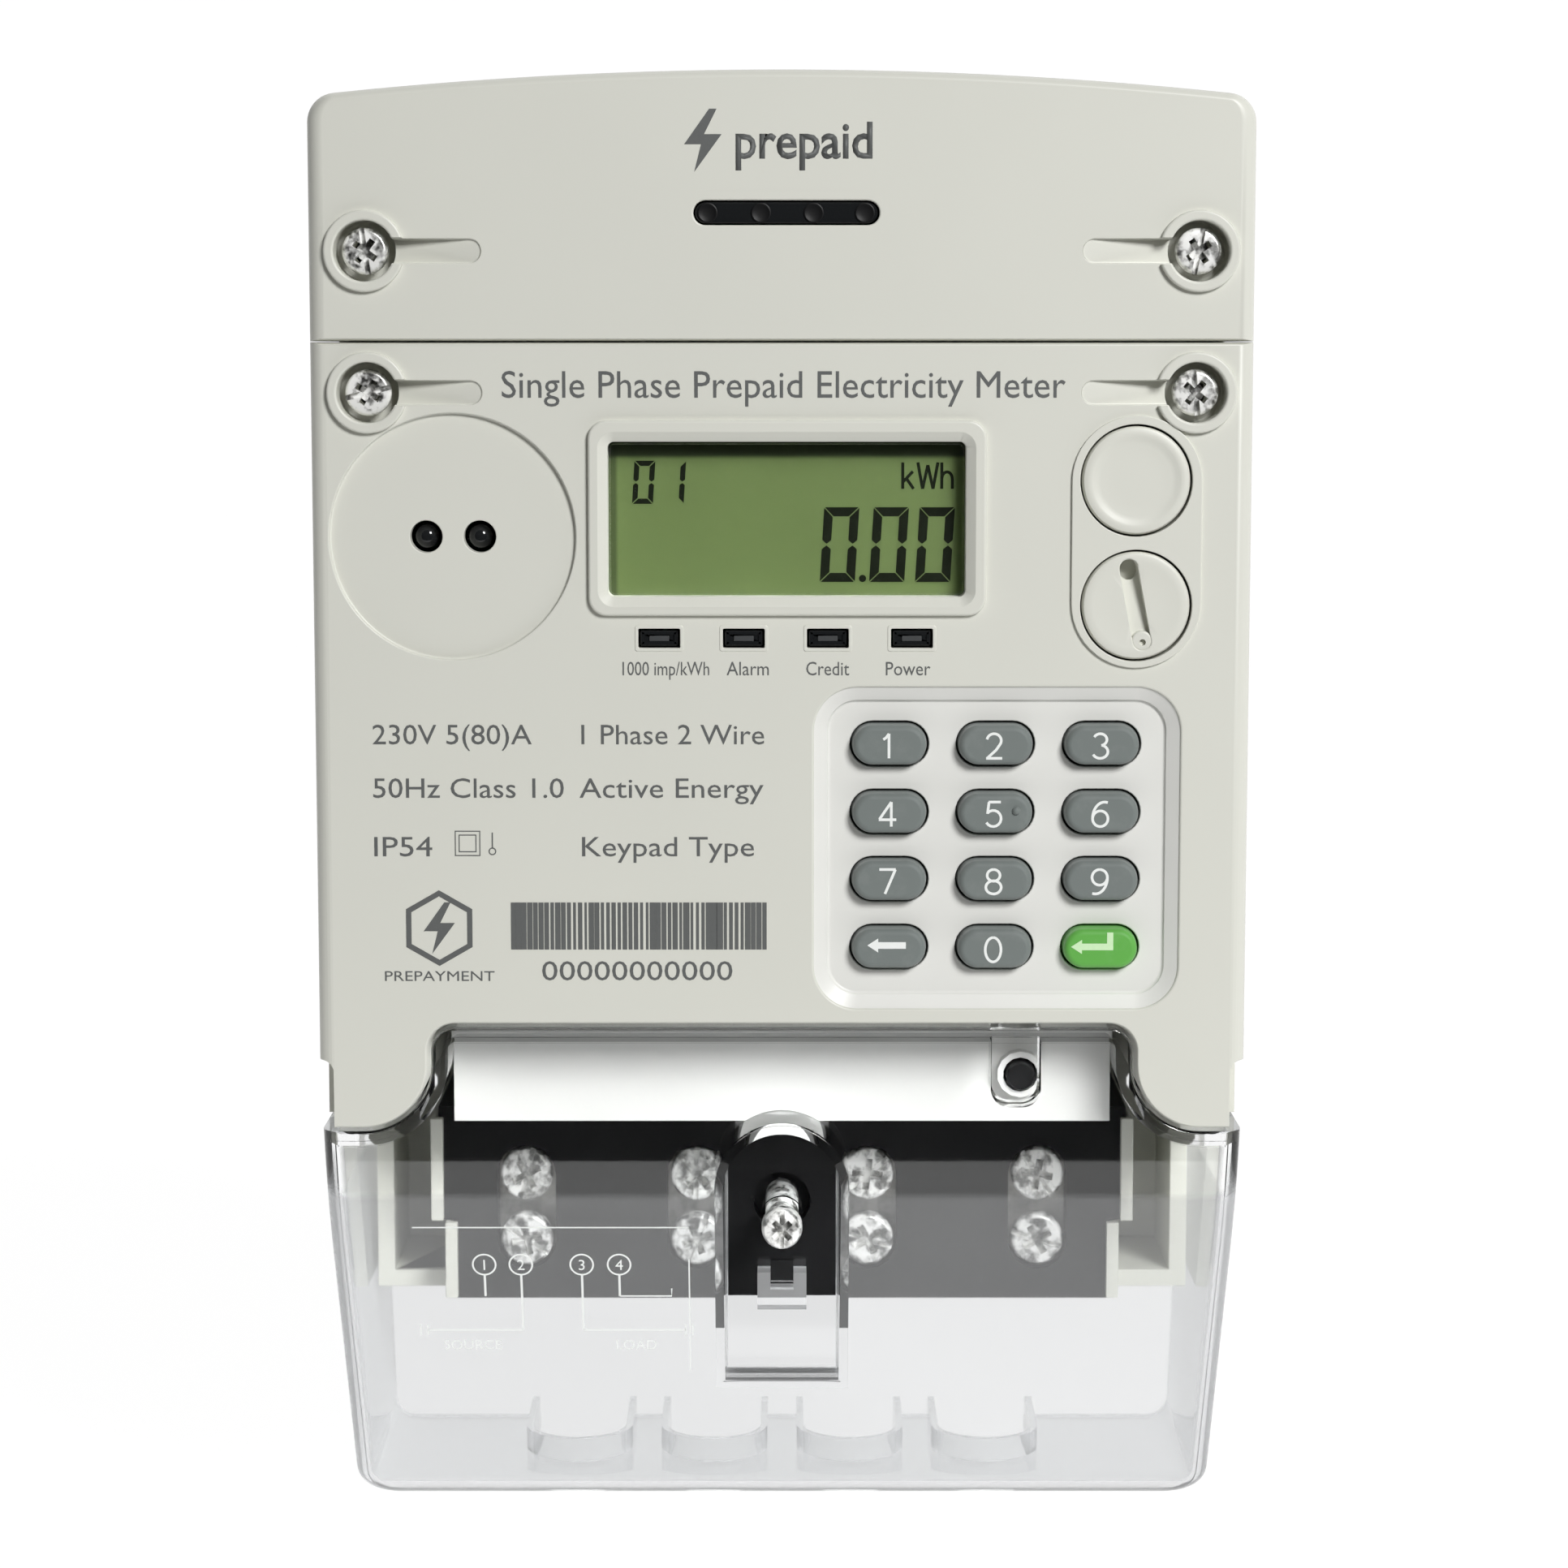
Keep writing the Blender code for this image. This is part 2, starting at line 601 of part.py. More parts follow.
def terminal_shroud():
    """The white box behind the tongue of the clear cover, with the boss of the cover switch."""
    outline = rounded_box(*SHROUD, 0)
    inner = SHROUD_FRONT + SHROUD_WALL
    shroud = slab("terminal_shroud", [outline], SHROUD_FRONT, SHROUD_BACK, "white_plastic")
    cut(shroud, slab("shroud_hollow", [inset(outline, SHROUD_WALL)], inner, SHROUD_BACK + EPS))
    join(shroud, drum("switch_boss", *SWITCH, SWITCH_BOSS_RADIUS, SWITCH_BOSS_FRONT, SHROUD_FRONT + EPS))
    cut(shroud, drum("switch_hole", *SWITCH, SWITCH_HOLE_RADIUS, SWITCH_BOSS_FRONT - EPS, inner + EPS))
    return shroud


def cover_switch_button():
    """The sprung pin that feels whether the clear cover is on."""
    pin = [(0, -0.0512), (0.0017, -0.0512), (0.00207, -0.0509), (0.00207, -0.0457)]
    flange = [(0.0030, -0.0457), (0.0030, -0.0449), (0.0014, -0.0449)]
    tail = [(0.0014, -0.0430), (0, -0.0430)]
    return turned("cover_switch_button", *SWITCH, pin + flange + tail, "black_plastic", 16)


# ---- Terminal end

def cover_profile(thickness):
    """The clear cover's side outline in Y and Z, moved inwards by a thickness."""
    line = [
        (FRONT, COVER_OPEN),
        (FRONT, COVER_KNEE),
        (COVER_TOE, COVER_BOTTOM),
        (COVER_BEHIND, COVER_BOTTOM),
        (COVER_BEHIND, COVER_OPEN),
    ]
    radii = (0, COVER_KNEE_ROUND, COVER_CORNER - thickness, 0, 0)
    return rounded([(y, z, radius) for (y, z), radius in zip(inset(line, thickness), radii)])


def cover_outline():
    half = TONGUE_HALF - COVER_GAP
    top = TONGUE_TOP - COVER_GAP
    edge = SHOULDER - COVER_GAP
    corners = [
        (-COVER_BOTTOM_HALF, COVER_BOTTOM, COVER_CORNER),
        (COVER_BOTTOM_HALF, COVER_BOTTOM, COVER_CORNER),
        (COVER_TOP_HALF, edge, 0),
        (half, edge, SHOULDER_ROUND + COVER_GAP),
        (half, top, TONGUE_ROUND - COVER_GAP),
        (-half, top, TONGUE_ROUND - COVER_GAP),
        (-half, edge, SHOULDER_ROUND + COVER_GAP),
        (-COVER_TOP_HALF, edge, 0),
    ]
    return rounded(corners)


def channel_outline(half, end):
    """A round top over straight sides."""
    return [(-half, end), (half, end), *arc((0, CHANNEL_CENTRE), half, 0, 180, 14)]


def cover_shell():
    """The clear cover's walls, open towards the wall it hangs on."""
    outline = cover_outline()
    shell = slab("terminal_cover", [outline], FRONT, -GAP, "clear_plastic")
    hollow = slab("cover_hollow", [inset(outline, COVER_WALL)], FRONT - EPS, 2 * EPS)
    reach = HALF_WIDTH + 2 * COVER_WALL
    inner = slab("cover_hollow_side", [cover_profile(COVER_WALL)], -reach, reach, facing="side")
    combine(hollow, [inner], "INTERSECT")
    cut(shell, hollow)
    skin = channel_outline(CHANNEL_HALF, CHANNEL_END)
    join(shell, slab("channel_skin", [skin], FRONT, CHANNEL_FLOOR + CHANNEL_WALL))
    outer = slab("cover_side", [cover_profile(0)], -reach - EPS, reach + EPS, facing="side")
    return combine(shell, [outer], "INTERSECT")


def terminal_cover():
    """The clear cover over the terminals, with the sunk channel for its screw and four mouths
    for the cables in its bottom wall."""
    cover = cover_shell()
    channel = channel_outline(CHANNEL_HALF - CHANNEL_WALL, CHANNEL_END + CHANNEL_WALL)
    cut(cover, slab("channel", [channel], FRONT - EPS, CHANNEL_FLOOR))
    under = CHANNEL_FLOOR + 2 * EPS
    cut(cover, drum("cover_screw_hole", 0, COVER_SCREW_Z, COVER_SCREW_HOLE, FRONT, under))
    half, front, low, high = SEAL_LUG
    join(cover, block("seal_lug", (-half, front, low), (half, CHANNEL_FLOOR + EPS / 2, high)))
    half, front, low, high = SEAL_EYE
    cut(cover, block("seal_eye", (-half, front, low), (half, CHANNEL_FLOOR + 3 * EPS, high)))
    front, low, high = TONGUE_ROOM
    half = TONGUE_HALF + COVER_WALL
    cut(cover, block("tongue_back", (-half, front, low), (half, 2 * EPS, high)))
    half, low, high = BASE_ROOM
    cut(cover, block("base_room", (-half, SPLIT - EPS, low), (half, 2 * EPS, high)))
    floor = COVER_BOTTOM - EPS
    for number, x in enumerate(MOUTH_X):
        bend = arc((x, MOUTH_Y), MOUTH_RADIUS, 180, 360, 8)
        mouth = [(x - MOUTH_RADIUS, 2 * EPS), *bend, (x + MOUTH_RADIUS, 2 * EPS)]
        top = COVER_BOTTOM + COVER_WALL + 2 * EPS
        cut(cover, slab(f"cable_mouth_{number}", [mouth], floor, top, facing="floor"))
    return cover


def terminal_cover_screw():
    """The long captive screw in the channel."""
    head = [(0, -0.0500), (0.0022, -0.0500), (0.0029, -0.0493), (0.0029, -0.0462), (0.0026, -0.0458)]
    shank = [(0.0026, -0.0270), (0.0018, -0.0270), (0.0018, -0.0150), (0, -0.0140)]
    return turned("terminal_cover_screw", 0, COVER_SCREW_Z, head + shank, "zinc_steel", ROUND_SIDES)


def terminal_block():
    corners = [
        (-BLOCK_LOWER_HALF, BLOCK_BOTTOM),
        (BLOCK_LOWER_HALF, BLOCK_BOTTOM),
        (BLOCK_LOWER_HALF, BLOCK_STEP),
        (BLOCK_UPPER_HALF, BLOCK_STEP + DRAFT),
        (BLOCK_UPPER_HALF, BLOCK_TOP),
        (-BLOCK_UPPER_HALF, BLOCK_TOP),
        (-BLOCK_UPPER_HALF, BLOCK_STEP + DRAFT),
        (-BLOCK_LOWER_HALF, BLOCK_STEP),
    ]
    body = slab("terminal_block", [corners], BLOCK_FRONT, BLOCK_BACK, "black_plastic")
    side = TERMINAL_HALF + GAP
    middle = sum(TERMINAL_SCREW_Z.values()) / 2
    reach = TERMINAL_SCREW_Z["upper"] - TERMINAL_SCREW_Z["lower"]
    for number, x in enumerate(TERMINAL_X, 1):
        pocket_low = (x - side, TERMINAL_FRONT - GAP, TERMINAL_FOOT - GAP)
        pocket_high = (x + side, BLOCK_BACK + EPS, TERMINAL_TOP + GAP)
        cut(body, block(f"pocket_{number}", pocket_low, pocket_high))
        opening = [(z, c) for c, z in pill(middle, x, reach + SCREW_OPENING, SCREW_OPENING)]
        cut(body, slab(f"screw_opening_{number}", [opening], BLOCK_FRONT - EPS, TERMINAL_FRONT))
        cut(body, bore(f"wire_entry_{number}", x, WIRE_Y, BLOCK_BOTTOM - EPS, TERMINAL_FOOT, WIRE_ENTRY))
    front = BLOCK_FRONT - EPS
    cut(body, drum("cover_screw_well", 0, COVER_SCREW_Z, WELL_RADIUS, front, WELL_FLOOR, sides=ROUND_SIDES))
    cut(body, drum("cover_screw_thread", 0, COVER_SCREW_Z, WELL_THREAD, front, WELL_END, sides=16))
    return body


def terminals():
    """Four tinned brass clamps, bored for the wire and threaded for two screws each."""
    made = []
    for number, x in enumerate(TERMINAL_X, 1):
        low = (x - TERMINAL_HALF, TERMINAL_FRONT, TERMINAL_FOOT)
        high = (x + TERMINAL_HALF, TERMINAL_BACK, TERMINAL_TOP)
        clamp = block(f"terminal_{number}", low, high, "tinned_brass")
        cut(clamp, bore(f"wire_bore_{number}", x, WIRE_Y, TERMINAL_FOOT - EPS, TERMINAL_TOP + EPS, WIRE_BORE))
        for level, z in TERMINAL_SCREW_Z.items():
            name = f"thread_{number}_{level}"
            cut(clamp, drum(name, x, z, THREAD_HOLE, TERMINAL_FRONT - EPS, WIRE_Y, sides=FINE_SIDES))
        made.append(clamp)
    return made


def terminal_screws():
    head = [(0, -0.0300), (0.0030, -0.0300), (0.00386, -0.0293), (0.00386, -0.0276)]
    shank = [(0.0023, -0.0272), (0.0023, -0.0198), (0, -0.0194)]
    source = turned("terminal_screw_source", 0, 0, head + shank, "zinc_steel", FINE_SIDES)
    names = [f"terminal_screw_{number}_{level}" for number in range(1, 5) for level in TERMINAL_SCREW_Z]
    places = [(x, z) for x in TERMINAL_X for z in TERMINAL_SCREW_Z.values()]
    return copies(source, names, places)


# ---- Face

def display():
    pane = inset(rounded_box(*WINDOW, WINDOW_CORNER, 2), GAP)
    slab("lcd_window", [pane], PANE_FRONT, PANE_BACK, "clear_plastic")
    glass = rounded_box(*GLASS, 0)
    slab("lcd_glass", [glass], GLASS_FRONT, GLASS_BACK, "lcd_green")
    slab("lcd_backlight", [inset(glass, EPS / 2)], GLASS_BACK + GAP, BOARD_FRONT - GAP, "white_plastic")


def lamps():
    """The four smoked indicator lenses, each let into its own hole."""
    half_x = LAMP_SIZE[0] / 2 - GAP
    half_z = LAMP_SIZE[1] / 2 - GAP
    lens = rounded_box(-half_x, half_x, -half_z, half_z, 0.0002, 1)
    source = slab("lens_source", [lens], LAMP_FRONT, LAMP_BACK, "smoked_plastic")
    return copies(source, [f"{name}_lens" for name in LAMP_X], [(x, LAMP_Z) for x in LAMP_X.values()])


def infrared_pair():
    foot = BOARD_FRONT - GAP
    for name, x in PORT_HOLES.items():
        dome = [(0, -0.0583), (0.0010, -0.0581), (0.0018, -0.0573), (0.0018, -0.0550)]
        flange = [(0.0021, -0.0550), (0.0021, foot), (0, foot)]
        turned(name, x, PORT[1], dome + flange, "black_plastic", 16)


def display_button():
    """The round push button that steps the display, held by its flange behind the front wall."""
    dish = [(0, -0.0602), (0.0058, -0.0605), (0.0068, -0.0605), (BUTTON_RADIUS, -0.0600)]
    flange = [(BUTTON_RADIUS, -0.0564), (0.0083, -0.0564), (0.0083, -0.0556), (0, -0.0556)]
    return turned("display_button", *DISPLAY_BUTTON, dish + flange, "light_grey_plastic")


def service_button():
    """A sprung stem under a slotted cap. The cap turns on the stem, and they press in together."""
    neck = [(0, -0.0577), (STEM_RADIUS, -0.0577), (STEM_RADIUS, -0.0564)]
    flange = [(0.0083, -0.0564), (0.0083, -0.0556), (0, -0.0556)]
    turned("service_stem", *SERVICE_BUTTON, neck + flange, "light_grey_plastic")
    crown = [(0, -0.0604), (0.0067, -0.0604), (BUTTON_RADIUS, -0.0599)]
    skirt = [(BUTTON_RADIUS, -0.0567), (0, -0.0567)]
    cap = turned("service_cap", *SERVICE_BUTTON, crown + skirt, "light_grey_plastic")
    cut(cap, drum("stem_socket", *SERVICE_BUTTON, SOCKET_RADIUS, SOCKET_FRONT, SOCKET_FRONT + 2 * EPS))
    slot_outline = pill(0, 0, *SERVICE_SLOT)
    slot = slab("service_slot", [slot_outline], FRONT - 2 * EPS, SERVICE_SLOT_FLOOR, at=SERVICE_BUTTON)
    slot.rotation_euler.y = math.pi / 2 + SERVICE_SLOT_TILT
    return cut(cap, slot)


def keys():
    """Twelve rubber keys: a cap, a flange behind the wall, and a pill that meets the board."""
    cap = slab("key_source", [pill(0, 0, *KEY_SIZE, 3)], KEY_FRONT, KEY_FLANGE_BACK - GAP, "grey_rubber")
    wide = pill(0, 0, KEY_SIZE[0] + 2 * KEY_FLANGE, KEY_SIZE[1] + 2 * KEY_FLANGE, 3)
    flange = slab("key_flange", [wide], KEY_FLANGE_FRONT, KEY_FLANGE_BACK)
    join(cap, flange, drum("key_pill", 0, 0, KEY_PILL_RADIUS, KEY_FLANGE_FRONT, KEY_PILL_BACK, sides=8))
    names = [f"key_{name}" for row in KEY_NAMES for name in row]
    made = copies(cap, names, [(x, z) for z in KEY_Z for x in KEY_X])
    enter = made[-1]
    enter.data = enter.data.copy()
    enter.data.materials[0] = finish("green_rubber")
    return made


def keypad_mat():
    sheet = rounded_box(*MAT, 0.0020, 3)
    holes = [arc((x, z), MAT_HOLE_RADIUS, 0, 315, 7) for z in KEY_Z for x in KEY_X]
    return slab("keypad_mat", [sheet, *holes], MAT_FRONT, MAT_BACK, "grey_rubber")


def module_window():
    x, z, length, height = MODULE_WINDOW
    lens = pill(x, z, length - 2 * GAP, height - 2 * GAP)
    return slab("module_led_window", [lens], MODULE_WINDOW_FRONT, MODULE_WINDOW_BACK, "smoked_plastic")


# ---- Inside

def boards():
    outline = [
        (-BOARD_HALF, BOARD_LOW),
        (BOARD_HALF, BOARD_LOW),
        (BOARD_HALF, BOARD_SHOULDER),
        (BOARD_NECK_HALF, BOARD_SHOULDER),
        (BOARD_NECK_HALF, BOARD_HIGH),
        (-BOARD_NECK_HALF, BOARD_HIGH),
        (-BOARD_NECK_HALF, BOARD_SHOULDER),
        (-BOARD_HALF, BOARD_SHOULDER),
    ]
    slab("main_board", [outline], BOARD_FRONT, BOARD_BACK, "circuit_board")
    module = rounded_box(*MODULE_BOARD, 0.0010, 1)
    slab("module_board", [module], MODULE_BOARD_FRONT, MODULE_BOARD_BACK, "circuit_board")


def click_switches():
    for name, (x, z) in (("display_switch", DISPLAY_BUTTON), ("service_switch", SERVICE_BUTTON)):
        low = (x - SWITCH_HALF, SWITCH_FRONT, z - SWITCH_HALF)
        high = (x + SWITCH_HALF, BOARD_FRONT - GAP, z + SWITCH_HALF)
        block(name, low, high, "black_plastic")


def power_parts():
    block("latching_relay", RELAY_LOW, RELAY_HIGH, "black_plastic")
    block("power_transformer", TRANSFORMER_LOW, TRANSFORMER_HIGH, "copper")
    low_x, high_x, high_z, low_z = SHUNT
    bar_z = high_z - SHUNT_BAR
    shunt = [(low_x, high_z), (high_x, high_z), (high_x, low_z), (high_x - SHUNT_LEG, low_z)]
    shunt += [(high_x - SHUNT_LEG, bar_z), (low_x + SHUNT_LEG, bar_z)]
    shunt += [(low_x + SHUNT_LEG, low_z), (low_x, low_z)]
    slab("current_shunt", [shunt], SHUNT_FRONT, SHUNT_BACK, "copper")
    work = bmesh.new()
    bmesh.ops.create_cone(
        work,
        cap_ends=True,
        segments=24,
        radius1=BATTERY_RADIUS,
        radius2=BATTERY_RADIUS,
        depth=BATTERY_LENGTH,
        matrix=Matrix.Rotation(math.pi / 2, 4, "Y"),
    )
    from_bmesh("backup_battery", work, BATTERY, "zinc_steel")


def build():
    global parts, cutters
    for obj in list(bpy.data.objects):
        bpy.data.objects.remove(obj)
    parts = bpy.data.collections.new("prepaid_electricity_meter")
    cutters = bpy.data.collections.new("cutters")
    for collection in (parts, cutters):
        bpy.context.scene.collection.children.link(collection)
    base_case()
    hanging_hook()
    front_cover()
    module_cover()
    seal_screws()
    terminal_shroud()
    cover_switch_button()
    terminal_cover()
    terminal_cover_screw()
    terminal_block()
    terminals()
    terminal_screws()
    display()
    lamps()
    infrared_pair()
    display_button()
    service_button()
    keys()
    keypad_mat()
    module_window()
    boards()
    click_switches()
    power_parts()


build()
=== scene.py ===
import math
import random
import bmesh
import bpy
from mathutils import Matrix, Vector


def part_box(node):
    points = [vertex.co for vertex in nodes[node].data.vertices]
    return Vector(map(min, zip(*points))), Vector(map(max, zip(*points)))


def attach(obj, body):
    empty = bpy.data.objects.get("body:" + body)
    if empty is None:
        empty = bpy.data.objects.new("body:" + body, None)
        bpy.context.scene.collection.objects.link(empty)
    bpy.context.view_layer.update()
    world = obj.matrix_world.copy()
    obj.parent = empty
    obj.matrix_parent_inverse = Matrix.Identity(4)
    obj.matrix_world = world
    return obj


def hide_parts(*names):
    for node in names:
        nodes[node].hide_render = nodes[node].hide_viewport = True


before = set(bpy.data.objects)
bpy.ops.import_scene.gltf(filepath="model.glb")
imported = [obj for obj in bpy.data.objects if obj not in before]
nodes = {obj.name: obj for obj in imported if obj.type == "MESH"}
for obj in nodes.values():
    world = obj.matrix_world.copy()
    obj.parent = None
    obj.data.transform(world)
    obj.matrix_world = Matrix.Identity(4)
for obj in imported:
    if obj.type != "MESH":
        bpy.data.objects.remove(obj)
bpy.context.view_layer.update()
mm = 0.001               # every length below is in millimetres until it becomes a mesh
print("frame loaded")

meter = {
    "halfWidth": 64.0, "front": -60.0, "split": -24.0, "proud": 0.9,
    "crown": 101.85, "crownRadius": 590.0, "crownCorner": 4.0, "seam": 65.45,
    "shoulder": -42.8, "tongueTop": -28.2, "tongueHalf": 48.8, "shoulderRound": 9.1, "tongueRound": 3.7,
    "wall": 2.5, "skin": 3.2, "gap": 0.3, "seamHalf": 0.06, "frontRound": 2.3,
}


# ---- shader and geometry trees

class Value:             # a socket that takes part in expressions
    def __init__(self, tree, socket):
        self.tree = tree
        self.socket = socket

    def __add__(self, other): return self.tree.math("ADD", self, other)
    def __radd__(self, other): return self.tree.math("ADD", other, self)
    def __sub__(self, other): return self.tree.math("SUBTRACT", self, other)
    def __rsub__(self, other): return self.tree.math("SUBTRACT", other, self)
    def __mul__(self, other): return self.tree.math("MULTIPLY", self, other)
    def __rmul__(self, other): return self.tree.math("MULTIPLY", other, self)
    def __truediv__(self, other): return self.tree.math("DIVIDE", self, other)
    def __gt__(self, other): return self.tree.math("GREATER_THAN", self, other)
    def __lt__(self, other): return self.tree.math("LESS_THAN", self, other)

    def out(self, name):
        return Value(self.tree, self.socket.node.outputs[name])


class Tree:
    def __init__(self, tree):
        self.tree = tree

    def node(self, kind, settings=None, sockets=None, output=0):
        made = self.tree.nodes.new(kind)
        for name, value in (settings or {}).items():
            if name == "stops":
                self.setStops(made.color_ramp, value)
            else:
                setattr(made, name, value)
        for name, value in (sockets or {}).items():
            self.feed(made.inputs[name], value)
        return Value(self, made.outputs[output]) if made.outputs else made

    def setStops(self, ramp, stops):
        while len(ramp.elements) < len(stops):
            ramp.elements.new(0.5)
        for element, (place, colour) in zip(ramp.elements, stops):
            element.position = place
            element.color = colour

    def feed(self, socket, value):
        if isinstance(value, Value):
            self.tree.links.new(value.socket, socket)
        else:
            socket.default_value = value

    def math(self, operation, *values):
        return self.node("ShaderNodeMath", {"operation": operation}, dict(enumerate(values)))

    def blend(self, factor, one, two):
        return self.node("ShaderNodeMix", {"data_type": "RGBA"}, {0: factor, 6: one, 7: two}, 2)


class Shader(Tree):
    def __init__(self, name, **uniform):
        self.material = bpy.data.materials.new(name)
        self.material.use_nodes = True
        super().__init__(self.material.node_tree)
        self.bsdf = self.tree.nodes["Principled BSDF"]
        for key, value in uniform.items():
            self.bsdf.inputs[socketNames.get(key, key)].default_value = value
        self.place = self.node("ShaderNodeTexCoord").out("Object")

    def noise(self, scale, detail=3.0, roughness=0.5, vector=None):
        sockets = {"Vector": vector or self.place, "Scale": scale, "Detail": detail, "Roughness": roughness}
        return self.node("ShaderNodeTexNoise", None, sockets)

    def cells(self, scale, feature="F1", output="Distance"):
        sockets = {"Vector": self.place, "Scale": scale}
        return self.node("ShaderNodeTexVoronoi", {"feature": feature}, sockets).out(output)

    def axis(self, name, vector=None):
        return self.node("ShaderNodeSeparateXYZ", None, {0: vector or self.place}).out(name)

    def ramp(self, value, low, high):
        return self.node("ShaderNodeMapRange", None, {"Value": value, "From Min": low, "From Max": high})

    def set(self, **sockets):
        for key, value in sockets.items():
            self.feed(self.bsdf.inputs[socketNames.get(key, key)], value)

    def bump(self, height, strength, depth):
        sockets = {"Height": height, "Strength": strength, "Distance": depth}
        self.set(normal=self.node("ShaderNodeBump", None, sockets))


socketNames = {
    "colour": "Base Color", "roughness": "Roughness", "metallic": "Metallic", "normal": "Normal",
    "ior": "IOR", "coat": "Coat Weight", "coatRoughness": "Coat Roughness", "sheen": "Sheen Weight",
    "sheenRoughness": "Sheen Roughness", "specular": "Specular IOR Level",
    "transmission": "Transmission Weight", "glow": "Emission Color", "glowStrength": "Emission Strength",
}


def shade(colour, factor):
    return tuple(min(1.0, c * factor) for c in colour[:3]) + (1.0,)


def varied(shader, factor, look):        # the colour, a little darker and lighter by its variation
    dark, light = shade(look["colour"], 1 - look["variation"]), shade(look["colour"], 1 + look["variation"])
    return shader.blend(factor, dark, light)


def mouldedPlastic(name, look):          # spark-eroded texture, faint flow clouds and a little handling dirt
    made = Shader(name, specular=look.get("specular", 0.5))
    cloud = made.noise(look["cloudScale"], 2.0)
    grain = made.noise(look["grainScale"], 4.0, 0.65)
    fleck = made.cells(look["grainScale"] * 0.45)
    tone = cloud * 0.75 + grain * 0.25
    made.set(
        colour=varied(made, tone, look),
        roughness=look["roughness"] - 0.5 * look["roughnessSpread"] + tone * look["roughnessSpread"],
    )
    made.bump(grain * 0.6 + fleck * 0.4, look["bump"], 0.02 * mm)
    return made.material


def clearPlastic(name, look):            # clear moulded polycarbonate, with faint flow lines and haze
    made = Shader(name, transmission=1.0, ior=look["ior"])
    haze = made.noise(look["hazeScale"], 3.0, 0.6)
    made.set(roughness=look["roughness"] + haze * look["roughnessSpread"])
    made.bump(made.noise(look["waveScale"], 1.0), look["bump"], 0.05 * mm)
    surface = Value(made, made.bsdf.outputs[0])
    if "reflectionStrength" in look:                   # a painted reflection: white mixed in on the sloping front, stronger at its side edges; the seal lug gets the same white as its own milky look; none in the channel
        across, deep, up = made.math("ABSOLUTE", made.axis("X")), made.axis("Y"), made.axis("Z")
        below = made.ramp(0.0 - up, (0.4 - look["reflectionTop"]) * mm, (1.6 - look["reflectionTop"]) * mm)
        inside = (across < look["channelHalf"] * mm) * (up > look["channelEnd"] * mm)
        edge = made.ramp(across, 59.5 * mm, 61.5 * mm) * look["edgeReflection"]
        lugLow, lugHigh, lugBack = look["lug"]
        lug = inside * (up > lugLow * mm) * (up < lugHigh * mm) * (deep < lugBack * mm) * look["lugVeil"]
        reflectionAndLug = below * (1.0 - inside) * (look["reflectionStrength"] * 0.8 + haze * (look["reflectionStrength"] * 0.4) + edge) + lug
        # white shader of the painted reflection, also the seal lug's own milky white
        milkAndReflection = made.node("ShaderNodeBsdfPrincipled", None, {"Base Color": look["milkAndReflection"], "Roughness": 0.55})
        # the base colour turns darker below the knee
        made.set(colour=made.blend(below, look["colour"], look["belowKneeColour"]))
        surface = made.node("ShaderNodeMixShader", None, {0: reflectionAndLug, 1: surface, 2: milkAndReflection})
    else:
        made.set(colour=made.blend(haze, look["colour"], shade(look["colour"], 0.98)))
    through = made.node("ShaderNodeBsdfTransparent", None, {"Color": look["shadow"]})
    lamp = made.node("ShaderNodeLightPath").out("Is Shadow Ray")
    both = made.node("ShaderNodeMixShader", None, {0: lamp, 1: surface, 2: through})
    output = next(n for n in made.tree.nodes if n.type == "OUTPUT_MATERIAL")
    made.feed(output.inputs["Surface"], both)
    return made.material


def rubber(name, look):                  # silicone with a matt grain and a trace of dust
    made = Shader(name, specular=0.35, sheen=0.15, sheenRoughness=0.5)
    grain = made.noise(2600, 3.0, 0.7)
    dust = made.ramp(made.noise(320, 4.0, 0.7), 0.52, 0.80)
    made.set(
        colour=made.blend(dust * look["dust"], look["colour"], look["dustColour"]),
        roughness=look["roughness"] + dust * 0.12,
    )
    made.bump(grain, 0.22, 0.02 * mm)
    return made.material


def platedMetal(name, look):             # zinc or tin plate: cloudy bright patches and fine scratches; on the zinc the bright patches are mostly diffuse, a painted reflection
    made = Shader(name)
    cloud = made.noise(look["cloudScale"], 3.0, 0.6)
    lying = {"Vector": made.place, "Scale": (1, 1, 14), "Rotation": (0, 0.6, 0)}
    streak = made.node("ShaderNodeMapping", None, lying)
    scratch = made.noise(1400, 4.0, 0.6, streak)
    patch = made.ramp(cloud, 0.38, 0.56)
    made.set(
        colour=made.blend(patch, look["dark"], look["bright"]),
        roughness=look["roughness"] + cloud * 0.10 + scratch * 0.10,
        # bright patches lose their metal: on the zinc this paints the front light's reflection
        metallic=1.0 - patch * look["diffuseShare"],
    )
    made.bump(cloud * 0.5 + scratch * 0.5, look["bump"], 0.03 * mm)
    return made.material


def displayGlass(name, look):            # olive panel, with the shadow of its window's upper and left edges painted on
    made = Shader(name, coat=0.2, coatRoughness=0.08, specular=0.3)
    low, high = boxOf("lcd_window")
    across, up = made.axis("X"), made.axis("Z")
    grain = made.noise(900, 2.0)
    # where the painted shadow bands run, along the panel's top and its left edge
    top = high.z - look["topShade"]
    side = look["leftShade"] - low.x
    upper = made.ramp(up, (top - 0.4) * mm, (top + 0.2) * mm)
    left = made.ramp(0.0 - across, (side - 0.3) * mm, (side + 0.2) * mm)
    light = (0.94 + grain * 0.08) * (1.0 - upper * 0.88) * (1.0 - left * 0.60)
    made.set(
        colour=made.blend(light, look["dark"], look["bright"]),
        roughness=0.30 + grain * 0.08,
    )
    made.bump(made.noise(4200, 2.0), 0.08, 0.01 * mm)
    return made.material


